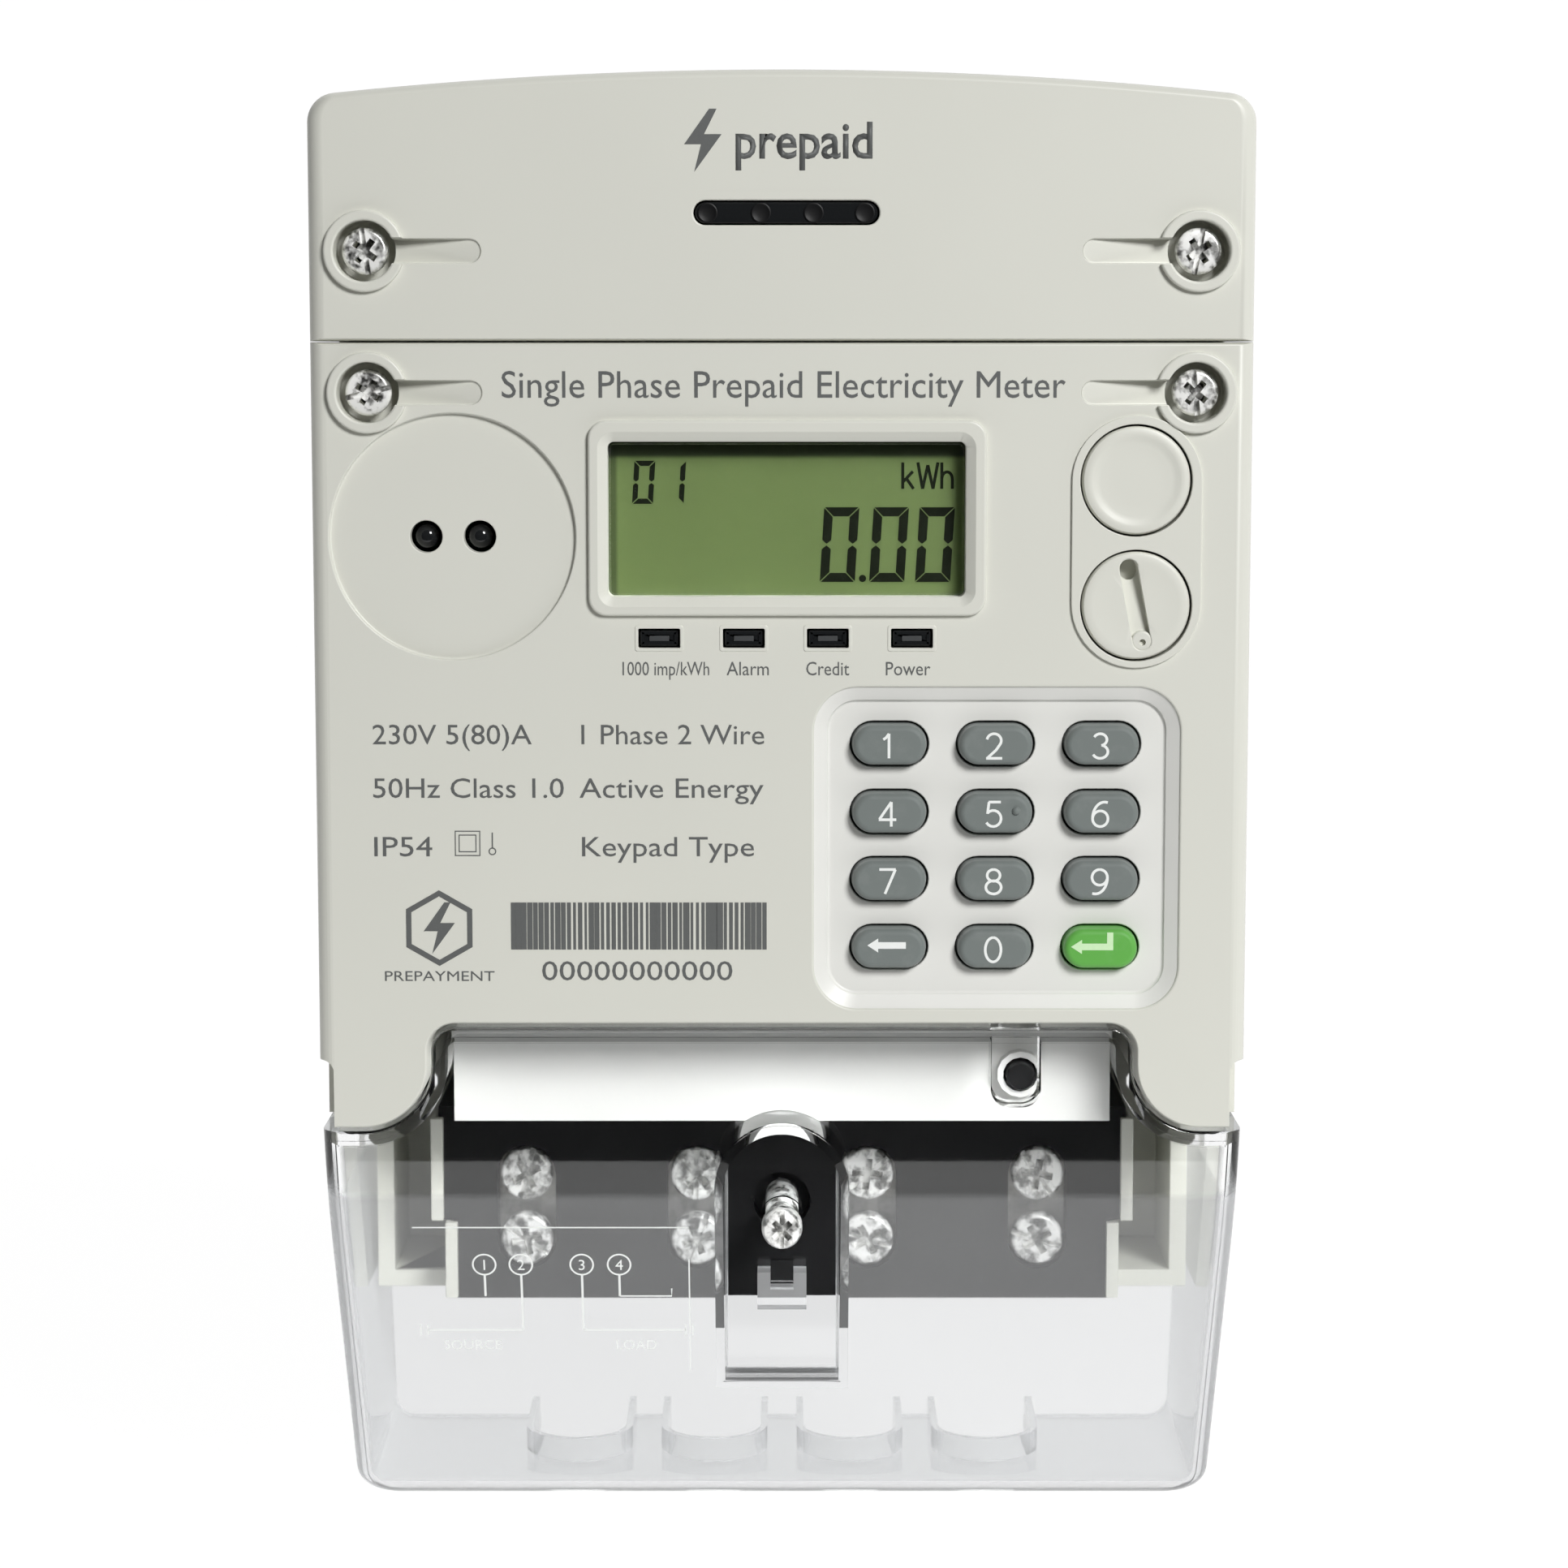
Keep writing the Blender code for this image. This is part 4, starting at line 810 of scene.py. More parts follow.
def moduleCover():
    face = meter["front"]
    bottom = meter["seam"] + meter["seamHalf"]
    half = meter["halfWidth"]
    cover = shell("module_shell", [(-half, bottom), (half, bottom)] + crownOutline(), sideShare(0.2, 0.5))
    rings, seats = seatsAt("module_screw_left", "module_screw_right")
    fuse(cover, *rings)
    window = pillOutline(*moduleFace["window"], 16)
    seats.append(layered("windowHole", window, sinkLayers(face, face + 5, 0.25)))
    carve(cover, *seats)
    mount(smooth(cover), "module_cover", "case_plastic", "module_cover")


moduleCover()
print("module cover made")


# ---- clear cover over the terminals

coverShape = {"bottom": -101.8, "topHalf": 63.75, "bottomHalf": 61.6, "knee": -52.0, "toe": -40.0,
              "wall": 2.0, "cornerRadius": 3.0, "bottomRadius": 5.0, "gap": 0.35, "channelHalf": 9.4,
              "channelWall": 1.4, "channelCentre": -51.65, "channelEnd": -83.0, "channelFloor": -42.0,
              "rim": 2.2, "mouths": (-30.5, -10.2, 10.2, 30.5), "mouthHalf": 7.0, "mouthCentre": -17.0,
              "screwHole": 3.1, "tongueRoom": (21.5, -20.0), "baseRoom": (61.1, -48.0, -30.0)}


def coverSections(inset):                # level sections from top to bottom, open to the wall
    top, bottom = -20.0, coverShape["bottom"] + inset
    knee, radius = coverShape["knee"], coverShape["bottomRadius"] - inset
    heights = [top, knee + 9] + [knee + 9 - 18 * i / 12 for i in range(1, 13)]
    heights += [knee - 9 - (knee - 9 - bottom - radius) * i / 6 for i in range(1, 7)]
    rounding = [math.radians(90 * i / 8) for i in range(1, 9)]
    sections = [(z, 0.0) for z in heights]
    sections += [(bottom + radius * (1 - math.sin(a)), radius * (1 - math.cos(a))) for a in rounding]
    return [(z, sectionAt(z, inset + pulled, inset)) for z, pulled in sections]


def coverFrontAt(z):                     # depth of the outer front face, with a soft knee
    start = coverShape["knee"]
    run = (coverShape["toe"] - meter["front"]) / (start - coverShape["bottom"])
    below = start - z
    soft = 9.0
    if below <= -soft:
        return meter["front"]
    if below >= soft:
        return meter["front"] + run * below
    return meter["front"] + run * (below + soft) ** 2 / (4 * soft)


def coverHalfAt(z):
    share = (meter["shoulder"] - z) / (meter["shoulder"] - coverShape["bottom"])
    return coverShape["topHalf"] + (coverShape["bottomHalf"] - coverShape["topHalf"]) * share


def sectionAt(z, pulled, inset):
    half = coverHalfAt(z) - pulled
    front = coverFrontAt(z) + pulled * 1.05
    radius = max(0.6, coverShape["cornerRadius"] - inset)
    return roundCorners([(-half, 3.0, 0), (-half, front, radius), (half, front, radius), (half, 3.0, 0)], 8)


def coverSolid(name, inset):
    return loft(name, [[(x, y, z) for x, y in ring] for z, ring in coverSections(inset)], clearCover)


def coverEdge(gap, inset=0.0):
    half, top = meter["tongueHalf"] - gap, meter["tongueTop"] - gap
    edge = meter["shoulder"] - gap
    right = [(half, top, meter["tongueRound"] - gap), (half, edge, meter["shoulderRound"] + gap),
             (70, edge, 0), (70, -110, 0)]
    left = [(-x, z, r) for x, z, r in reversed(right)]
    outline = roundCorners(left + right, 14)
    return insetOutline(outline, inset) if inset else outline


def laidOnFront(piece):                  # moves a piece drawn at zero depth onto the cover's front
    for vert in piece.data.vertices:
        vert.co.y += coverFrontAt(vert.co.z / mm) * mm
    return piece


def channelPath(inset):                  # the channel's outline, with points close enough to follow the slope
    half, end = coverShape["channelHalf"] - inset, coverShape["channelEnd"] + inset
    centre = coverShape["channelCentre"]
    rise = [end + (centre - end) * i / 14 for i in range(15)]
    foot = [(-half + half * i / 3, end) for i in range(1, 6)]
    bow = arcPoints(0, centre, half, 0, 180, 32)[1:-1]
    return [(half, z) for z in rise] + bow + [(-half, z) for z in rise[::-1]] + foot


coverDetails = {"beadInset": 1.7, "beadWidth": 0.8, "lipWidth": 1.3, "lipRise": 0.45,
                "lug": (3.5, -46.0, -71.9, -66.5), "eye": (1.65, -69.0, -65.7),
                "tab": (28.95, 35.9, -40.0, -30.0), "collarWall": 1.0, "collarTop": -96.5, "collarOpen": -2.0}


def coverAdditions():                    # what stands on the cover's walls
    look = coverDetails
    edge = coverEdge(coverShape["gap"] + look["beadInset"])[1:-1]
    path = [(-61.5, edge[0][1])] + [point for point in edge if abs(point[0]) < 61] + [(61.5, edge[0][1])]
    added = [laidOnFront(stroke("bead", path, look["beadWidth"], 0.6, clearCover, thickness=0.95))]
    lip = stroke("lip", channelPath(look["lipWidth"] / 2), look["lipWidth"], 1.0, clearCover,
                 thickness=1.0 + look["lipRise"], closed=True)
    added.append(laidOnFront(lip))
    lowX, highX, lowZ, highZ = look["tab"]
    tab = roundCorners([(lowX, lowZ, 2.6), (highX, lowZ, 2.6), (highX, highZ, 0), (lowX, highZ, 0)])
    added.append(layered("tab", tab, [(0, meter["front"] + 1), (0, -52.2), (0.3, -51.9)], clearCover))
    for x in coverShape["mouths"]:
        outer = coverShape["mouthHalf"] + look["collarWall"]
        bend = arcPoints(x, coverShape["mouthCentre"], outer, 180, 360, 20)
        outline = [(x - outer, look["collarOpen"])] + bend + [(x + outer, look["collarOpen"])]
        levels = (coverShape["bottom"] + 1, look["collarTop"])
        added.append(loft("collar", [[(a, b, z) for a, b in outline] for z in levels], clearCover))
    return added


def terminalCover():
    shape = coverShape
    cover = coverSolid("clear_shell", 0)
    edge = coverEdge(shape["gap"])
    combine(cover, [layered("edge", edge, softFront(meter["front"], 2.0, 0.5, 4))], "INTERSECT")
    hollow = coverSolid("hollow", shape["wall"])
    combine(hollow, [layered("rim", edge, [(shape["rim"], -70), (shape["rim"], 5)])], "INTERSECT")
    carve(cover, hollow)
    wall = shape["channelWall"]
    floor = shape["channelFloor"]
    skin = layered("channelSkin", channelPath(0), [(0, meter["front"] - 1), (0, floor + wall)])
    combine(skin, [coverSolid("outside", 0)], "INTERSECT")
    fuse(cover, skin)
    fuse(cover, *coverAdditions())
    floorLayers = [(wall - 0.25, meter["front"] - 2), (wall, floor - 0.8), (wall + 0.25, floor)]
    channel = layered("channel", channelPath(0), floorLayers)
    screw = middleOf("terminal_cover_screw")
    hole = drumSolid("hole", screw.x, screw.z, shape["screwHole"], meter["front"], floor + 3)
    lower, upper = boxOf("terminal_shroud")
    side = meter["tongueHalf"] + shape["wall"]
    deep, top = shape["tongueRoom"]
    tongueBack = boxSolid("tongueBack", (-side, upper.y - deep, lower.z - 1.0), (side, 5, top))
    half, low, high = shape["baseRoom"]
    baseRoom = boxSolid("baseRoom", (-half, meter["split"] - 1, low), (half, 5, high))
    back = boxSolid("back", (-70, -0.3, -110), (70, 6, -20))
    mouths = []
    for x in shape["mouths"]:
        halfMouth = shape["mouthHalf"]
        bend = arcPoints(x, shape["mouthCentre"], halfMouth, 180, 360, 20)
        outline = [(x - halfMouth, 5)] + bend + [(x + halfMouth, 5)]
        low = shape["bottom"]
        mouths.append(loft("mouth", [[(a, b, z) for a, b in outline] for z in (low - 2, low + 10)]))
    carve(cover, channel, hole, tongueBack, baseRoom, back, *mouths)
    half, front, low, high = coverDetails["lug"]
    fuse(cover, boxSolid("lug", (-half, front, low), (half, floor + 0.5, high), clearCover))
    half, low, high = coverDetails["eye"]
    carve(cover, boxSolid("eye", (-half, front - 1, low), (half, floor + 3, high)))
    return mount(smooth(cover), "terminal_cover", "clear_plastic", "terminal_cover")


terminalCover()
print("clear cover made")


# ---- cheeks beside the terminal block

cheekLook = {"front": -31.6, "lipBack": -30.15, "back": -3.0, "lip": 1.0, "side": 0.8,
             "upper": (50.45, -62.0, -47.0), "lower": (48.45, -73.4, -62.3)}      # inner side, low and high z


def blockCheeks():
    look = cheekLook
    parts = []
    for inner, low, high in (look["upper"], look["lower"]):
        for side in (-1, 1):
            across = [side * (inner - look["lip"]), side * (inner + look["side"]), side * inner]
            lip = sorted(across[:2])
            plate = sorted(across[1:])
            for (start, end), front, back in ((lip, look["front"], look["lipBack"]),
                                              (plate, look["lipBack"], look["back"])):
                parts.append(boxSolid("strip", (start, front, low), (end, back, high), casePlastic))
    mount(softened(joined("block_cheeks", parts), 0.2), "case", "case_plastic")


blockCheeks()


# ---- grown pieces

socketKinds = {float: "NodeSocketFloat", int: "NodeSocketInt", tuple: "NodeSocketVector",
               bpy.types.Material: "NodeSocketMaterial"}


class Grower(Tree):                      # a Geometry Nodes tree with named inputs
    def __init__(self, name, **inputs):
        group = bpy.data.node_groups.new(name, "GeometryNodeTree")
        super().__init__(group)
        group.interface.new_socket("Geometry", in_out="OUTPUT", socket_type="NodeSocketGeometry")
        self.names = {}
        for key, value in inputs.items():
            socket = group.interface.new_socket(key, in_out="INPUT", socket_type=socketKinds[type(value)])
            socket.default_value = value
            self.names[key] = socket.identifier
        self.entry = group.nodes.new("NodeGroupInput")

    def read(self, *names):
        found = [Value(self, self.entry.outputs[name]) for name in names]
        return found if len(found) > 1 else found[0]

    def vector(self, x, y, z):
        return self.node("ShaderNodeCombineXYZ", None, {0: x, 1: y, 2: z})

    def painted(self, geometry, material):
        real = self.node("GeometryNodeRealizeInstances", None, {"Geometry": geometry})
        return self.node("GeometryNodeSetMaterial", None, {"Geometry": real, "Material": material})

    def join(self, *parts):
        made = self.node("GeometryNodeJoinGeometry")
        for part in parts:
            self.tree.links.new(part.socket, made.socket.node.inputs[0])
        return made

    def finish(self, geometry):
        self.feed(self.tree.nodes.new("NodeGroupOutput").inputs["Geometry"], geometry)
        return self

    def tower(self, layers, sides):      # a closed solid of rings, given from its back to its front
        disc = self.node("GeometryNodeMeshCircle", {"fill_type": "NGON"}, {"Vertices": sides, "Radius": 1.0})
        turn = (math.pi / 2, math.pi / sides, 0.0)
        disc = self.node("GeometryNodeTransform", None, {"Geometry": disc, "Rotation": turn})
        place = self.node("GeometryNodeInputPosition")
        disc = self.node("GeometryNodeStoreNamedAttribute", {"data_type": "FLOAT_VECTOR"},
                         {"Geometry": disc, "Name": "ring", "Value": place})
        ring = self.node("GeometryNodeInputNamedAttribute", {"data_type": "FLOAT_VECTOR"}, {"Name": "ring"})
        split = self.node("ShaderNodeSeparateXYZ", None, {0: ring})
        across, up = split.out("X"), split.out("Z")

        def placed(radius, depth):
            return self.vector(across * radius, depth, up * radius)
        body = self.node("GeometryNodeSetPosition", None, {"Geometry": disc, "Position": placed(*layers[0])})
        back = self.node("GeometryNodeFlipFaces", None, {"Mesh": body})
        top = None
        for layer in layers[1:]:
            sockets = {"Mesh": body, "Offset Scale": 0.0}
            if top:
                sockets["Selection"] = top
            grown = self.node("GeometryNodeExtrudeMesh", {"mode": "FACES"}, sockets)
            self.feed(grown.socket.node.inputs["Individual"], False)
            top = grown.out("Top")
            moved = {"Geometry": grown, "Selection": top, "Position": placed(*layer)}
            body = self.node("GeometryNodeSetPosition", None, moved)
        whole = self.join(body, back)
        touching = {"Geometry": whole, "Distance": 0.000004}
        return self.node("GeometryNodeMergeByDistance", None, touching), across

    def grow(self, name, **values):      # the plain mesh that the tree makes with these values
        piece = newObject(name, bpy.data.meshes.new(name))
        modifier = piece.modifiers.new("grow", "NODES")
        modifier.node_group = self.tree
        for key, value in values.items():
            modifier[self.names[key]] = value
        settle(piece)
        for attribute in [a for a in piece.data.attributes if a.name == "ring"]:
            piece.data.attributes.remove(attribute)
        return piece


# ---- screws

screwLook = {
    "seal": {"headRadius": 3.15, "headBack": -57.6, "shank": 1.5, "slot": 0.75, "cross": 0.90, "sink": 1.7},
    "long": {"headRadius": 2.9, "headBack": -46.0, "shank": 2.4, "slot": 0.70, "cross": 0.85, "sink": 1.8},
    "clamp": {"headRadius": 3.86, "headBack": -27.7, "shank": 2.2, "slot": 0.80, "cross": 1.05, "sink": 2.2},
    "crests": 12,
}


def screwTree(crests):
    tree = Grower("screwTree", headRadius=0.003, front=-0.06, headBack=-0.0575, shank=0.0015,
                  end=-0.041, slot=0.0007, cross=0.0008, sink=0.001, finish=zincPlate)
    radius, front, back, shank, end = tree.read("headRadius", "front", "headBack", "shank", "end")
    core = shank * 0.84
    layers = [(core * 0.6, end), (core, end - 0.4 * mm)]
    thread = (back - end) * 0.8
    for i in range(crests):
        root = end - 0.4 * mm + thread * (i / crests)
        layers += [(core, root)] + [(shank, root + thread * (share / crests)) for share in (0.45, 0.55)]
    layers += [(core, end + thread), (core, back)]
    tall = front - back
    layers += [(radius * 0.97, back), (radius, back + tall * 0.08)]
    for i in range(7):
        angle = math.radians(15 * i)
        rise = tall * (0.55 + 0.42 * math.sin(angle))
        layers.append((radius * (0.80 + 0.20 * math.cos(angle)), back + rise))
    layers += [(radius * 0.5, back + tall * 0.985), (radius * 0.2, front)]
    body, _ = tree.tower(layers, 32)
    slot, cross, sink = tree.read("slot", "cross", "sink")
    cutters = []
    arm = radius * 1.16
    grooves = ((slot, radius * 2.2, sink * 0.45, 0.0), (cross, arm, sink, math.pi / 4),
               (cross, arm, sink, -math.pi / 4))
    for width, length, deep, angle in grooves:
        size = tree.vector(length, deep * 2, width)
        box = tree.node("GeometryNodeMeshCube", None, {"Size": size})
        mouth = tree.vector(0.0, front, 0.0)
        placing = {"Geometry": box, "Rotation": (0.0, angle, 0.0), "Translation": mouth}
        cutters.append(tree.node("GeometryNodeTransform", None, placing))
    cutting = {"operation": "DIFFERENCE", "solver": "EXACT"}
    carved = tree.node("GeometryNodeMeshBoolean", cutting, {"Mesh 1": body})
    for cutter in cutters:
        tree.tree.links.new(cutter.socket, carved.socket.node.inputs["Mesh 2"])
    return tree.finish(tree.painted(carved, tree.read("finish")))


def screws():
    tree = screwTree(screwLook["crests"])
    random.seed(11)
    kinds = {"module_screw_left": "seal", "module_screw_right": "seal", "cover_screw_left": "seal",
             "cover_screw_right": "seal", "terminal_cover_screw": "long"}
    for i in range(1, 5):
        kinds.update({f"terminal_screw_{i}_{level}": "clamp" for level in ("upper", "lower")})
    grown = {}
    for name, kind in kinds.items():
        low, high = boxOf(name)
        if kind not in grown:
            sizes = {key: value * mm for key, value in screwLook[kind].items()}
            grown[kind] = tree.grow(kind, front=low.y * mm, end=high.y * mm, finish=zincPlate, **sizes)
            smooth(grown[kind], 28)
        centre = Matrix.Translation(((low.x + high.x) / 2 * mm, 0, (low.z + high.z) / 2 * mm))
        screw = newObject(f"{name}_turned", grown[kind].data.copy())
        screw.data.transform(centre @ Matrix.Rotation(random.uniform(0, math.pi), 4, "Y"))
        even = screw.modifiers.new("evenNormals", "WEIGHTED_NORMAL")
        even.keep_sharp = True
        mount(screw, name, "zinc_steel", name)
    for source in grown.values():
        bpy.data.objects.remove(source)


screws()
print("screws made")


# ---- keypad

keyLook = {"length": 10.5, "height": 5.9, "edge": 0.85, "draft": 0.22, "top": -60.4, "flange": 0.9,
           "flangeFront": -56.3, "back": -55.6, "legend": (3.75, 2.45, 0.37), "pip": (2.81, 0.58, 0.55)}


def keyTree():
    tree = Grower("keyTree", centre=(0.0, 0.0, 0.0), length=0.0105, height=0.0059, edge=0.0008, draft=0.0002,
                  top=-0.0604, flange=0.0009, flangeFront=-0.0563, back=-0.0556, finish=greyRubber)
    length, height, edge, draft = tree.read("length", "height", "edge", "draft")
    top, flange, flangeFront, back = tree.read("top", "flange", "flangeFront", "back")
    radius = height * 0.5
    layers = [(radius + flange, back), (radius + flange, flangeFront), (radius, flangeFront)]
    for i in range(8):
        angle = math.radians(90 * i / 7)
        layers.append((radius - draft - edge * (1 - math.cos(angle)), top + edge * (1 - math.sin(angle))))
    body, across = tree.tower(layers, 56)
    side = tree.math("SIGN", across) * ((length - height) * 0.5)
    apart = {"Geometry": body, "Offset": tree.vector(side, 0.0, 0.0)}
    spread = tree.node("GeometryNodeSetPosition", None, apart)
    placing = {"Geometry": spread, "Translation": tree.read("centre")}
    placed = tree.node("GeometryNodeTransform", None, placing)
    return tree.finish(tree.painted(placed, tree.read("finish")))


arrowLook = {"shaft": 0.46, "wing": 0.98, "head": 1.5, "bend": 0.85,
             "back": (-3.0, 2.3, 0.0, 0.5), "enter": (-4.1, 1.7, 2.0, 0.3)}       # tip, tail, rise and lift


def arrow(kind, face, material):
    at = middleOf(f"key_{kind}")
    shaft, wing = arrowLook["shaft"], arrowLook["wing"]
    tip, tail, rise, lift = arrowLook[kind]
    neck = tip + arrowLook["head"]
    corner = tail - arrowLook["bend"]
    hook = [(corner, shaft), (corner, rise), (tail, rise)] if rise else [(tail, shaft)]
    outline = [(tip, 0), (neck, wing), (neck, shaft), *hook, (tail, -shaft), (neck, -shaft), (neck, -wing)]
    placed = [(at.x + x, at.z + lift + z) for x, z in outline]
    return layered(f"key_{kind}_legend", placed, [(0, face), (0, face - 0.04)], material)


def keypad():
    tree = keyTree()
    shape = ("length", "height", "edge", "draft", "top", "flange", "flangeFront", "back")
    sizes = {key: keyLook[key] * mm for key in shape}
    for name in keyNames:
        at = middleOf(name)
        green = name == "key_enter"
        finish = greenRubber if green else greyRubber
        cap = tree.grow(f"{name}_cap", centre=(at.x * mm, 0.0, at.z * mm), finish=finish, **sizes)
        mount(smooth(cap, 40), name, "enter_rubber" if green else "key_rubber", name)
        face = keyLook["top"]
        if name == "key_back":
            legend = arrow("back", face, whiteInk)
        elif green:
            legend = arrow("enter", face, paleGreenInk)
        else:
            tall, wide, pen = keyLook["legend"]
            x, z = at.x - 0.25 - wide / 2, at.z - tall / 2 + pen / 4
            strokes = written(name[-1], x, z, wide, tall - pen, pen, face, whiteInk)
            legend = joined(f"{name}_legend", strokes)
        mount(legend, name, "white_plastic")
    at = middleOf("key_5")
    away, radius, tall = keyLook["pip"]
    rings = [(radius, keyLook["top"] + 0.3)]
    for i in range(6):
        angle = math.radians(15 * i)
        rings.append((radius * math.cos(angle), keyLook["top"] - tall * math.sin(angle)))
    pip = loft("key_5_pip", turnedRings(at.x + away, at.z + 0.4, rings, 24), greyRubber)
    mount(smooth(pip, 50), "key_5", "key_rubber")


keypad()
print("keypad made")


# ---- round buttons

buttonLook = {"radius": 7.35, "dish": 5.7, "front": -60.45, "flange": 8.3, "skirtBack": -56.4,
              "flangeBack": -55.6, "capBack": -56.7, "slot": ((47.17, 34.81), (49.06, 24.94)),
              "slotWidth": 2.5, "slotCut": -59.0, "slotDeep": -58.2, "slotShallow": -59.5,
              "pit": (3.5, -57.0), "post": 1.4, "postBack": -58.6, "eye": 0.45,
              "socket": (3.3, -57.9), "edge": ((-0.65, 0.0), (-0.25, 0.12), (-0.05, 0.38), (0.0, 0.7)),
              "domeRings": ((0.5, 0.34), (0.85, 0.30), (0.97, 0.2), (1.04, 0.04), (1.10, 0.0)),
              "flatRings": ((0.5, 0.14), (0.93, 0.10), (1.02, 0.0))}


def buttonProfile(dished):
    front, dish, radius = buttonLook["front"], buttonLook["dish"], buttonLook["radius"]
    return ([(dish * share, front + deep) for share, deep in buttonLook[dished]]
            + [(radius + out, front + deep) for out, deep in buttonLook["edge"]])


def displayButton():
    at = middleOf("display_button")
    radius, flange, skirt = buttonLook["radius"], buttonLook["flange"], buttonLook["skirtBack"]
    profile = buttonProfile("domeRings")
    profile += [(radius, skirt), (flange, skirt), (flange, buttonLook["flangeBack"])]
    button = loft("display_button_cap", turnedRings(at.x, at.z, profile, 72), casePlastic)
    mount(smooth(button, 35), "display_button", "case_plastic", "display_button")


def serviceCap():
    at = middleOf("service_cap")
    front, width = buttonLook["front"], buttonLook["slotWidth"]
    profile = buttonProfile("flatRings") + [(buttonLook["radius"], buttonLook["capBack"])]
    cap = loft("service_cap_slotted", turnedRings(at.x, at.z, profile, 72), casePlastic)
    upper, lower = (Vector(point) for point in buttonLook["slot"])
    along = upper - lower
    length = along.length + width
    slotLayers = sinkLayers(front + 0.12, buttonLook["slotCut"], 0.15)
    slot = layered("slot", pillOutline(0, 0, length, width, 10), slotLayers)
    middle, lean = (upper + lower) / 2, math.atan2(along.y, along.x)
    for vert in slot.data.vertices:
        share = vert.co.x / mm / length + 0.5
        if vert.co.y > (front + 1.2) * mm:
            floor = buttonLook["slotShallow"] + (buttonLook["slotDeep"] - buttonLook["slotShallow"]) * share
            vert.co.y = floor * mm
        x, z = vert.co.x, vert.co.z
        vert.co.x = middle.x * mm + x * math.cos(lean) - z * math.sin(lean)
        vert.co.z = middle.y * mm + x * math.sin(lean) + z * math.cos(lean)
    radius, deep = buttonLook["socket"]
    carve(cap, slot, drumSolid("socket", at.x, at.z, radius, deep, buttonLook["capBack"] + 0.7, steps=40))
    start, floor = buttonLook["pit"]     # the slot is deepest beyond the stem
    heading = along.normalized()
    pit = (upper - Vector((at.x, at.z)) - heading * start).length
    centre = upper - heading * (pit - width / 2) / 2
    across = Vector((-heading.y, heading.x))
    lying = pillOutline(0, 0, pit + width / 2, width - 0.1, 10)
    pitShape = [tuple(centre + heading * a + across * b) for a, b in lying]
    carve(cap, layered("pit", pitShape, [(0, front + 0.55), (0, floor)]))
    ring = circleOutline(lower.x, lower.y, buttonLook["post"], 32)
    post = layered("post", ring, softFront(front + 0.2, buttonLook["postBack"], 0.3, 4))
    fuse(cap, post)
    carve(cap, drumSolid("eye", lower.x + 0.1, lower.y - 0.2, buttonLook["eye"], -61, -59.6, steps=20))
    mount(smooth(cap, 35), "service_cap", "case_plastic", "service_cap")


displayButton()
serviceCap()
print("buttons made")


# ---- display

displayLook = {"face": -56.4, "bigBar": 1.25, "smallBar": 0.72, "gap": 0.10, "lean": 0.06,
               "big": ((5.18, 9.99), (11.95, 16.76), (18.23, 23.04)), "bigZ": (32.78, 43.0),
               "small": ((-20.46, -17.6), (-16.4, -13.4)), "smallZ": (43.45, 49.33),
               "point": (11.05, 33.26, 0.5), "unit": (16.4, 45.5, 3.6, 7.2),
               "unitShares": (("k", 0.24), ("W", 0.38), ("h", 0.24))}
litSegments = {"0": "abcdef", "1": "bc"}


def segmentDigit(digit, lowX, highX, lowZ, highZ, bar):
    middle, gap, face = (lowZ + highZ) / 2, displayLook["gap"], displayLook["face"]
    top = [(lowX + gap, highZ), (highX - gap, highZ), (highX - bar - gap, highZ - bar),
           (lowX + bar + gap, highZ - bar)]
    side = [(lowX, highZ - gap), (lowX + bar, highZ - bar - gap), (lowX + bar, middle + bar * 0.5),
            (lowX + bar * 0.5, middle + gap), (lowX, middle + bar * 0.5)]
    centre = (lowX + highX) / 2

    def flip(outline, across, up):
        return [(2 * centre - x if across else x, 2 * middle - z if up else z) for x, z in outline]
    shapes = {"a": top, "d": flip(top, False, True), "f": side, "b": flip(side, True, False),
              "e": flip(side, False, True), "c": flip(side, True, True)}
    made = []
    for letter in litSegments[digit]:
        leaning = [(x + displayLook["lean"] * (z - lowZ), z) for x, z in shapes[letter]]
        made.append(layered("segment", leaning, [(0, face - 0.02), (0, face - 0.06)], segmentBlack))
    return made


def display():
    polish("lcd_glass", displayGreen, 0.15)
    polish("lcd_window", clearPane, 0.15)
    polish("lcd_backlight", whitePlastic, 0.2)
    drawn = []
    for lowX, highX in displayLook["big"]:
        drawn += segmentDigit("0", lowX, highX, *displayLook["bigZ"], displayLook["bigBar"])
    for digit, (lowX, highX) in zip("01", displayLook["small"]):
        drawn += segmentDigit(digit, lowX, highX, *displayLook["smallZ"], displayLook["smallBar"])
    face = displayLook["face"] - 0.02
    x, z, radius = displayLook["point"]
    drawn.append(drumSolid("point", x, z, radius, face - 0.04, face, segmentBlack, steps=20))
    x, z, height, width = displayLook["unit"]
    start = x
    for letter, share in displayLook["unitShares"]:
        drawn += written(letter, start, z, width * share, height, 0.42, face, segmentBlack)
        start += width * (share + 0.06)
    mount(joined("lcd_characters", drawn), "case", "lcd")


display()
print("display made")


# ---- lamps and optical port

lensLook = {"corner": 0.2, "rim": 0.5, "dish": 0.22, "dieHalf": 1.35, "dieLow": -0.42, "dieHigh": 0.30}
diodeLook = {"dome": 1.75, "domeBase": -56.6, "domeRise": 1.7, "body": 1.8, "bodyFront": -56.2,
             "flange": 2.1, "flangeFront": -55.1}


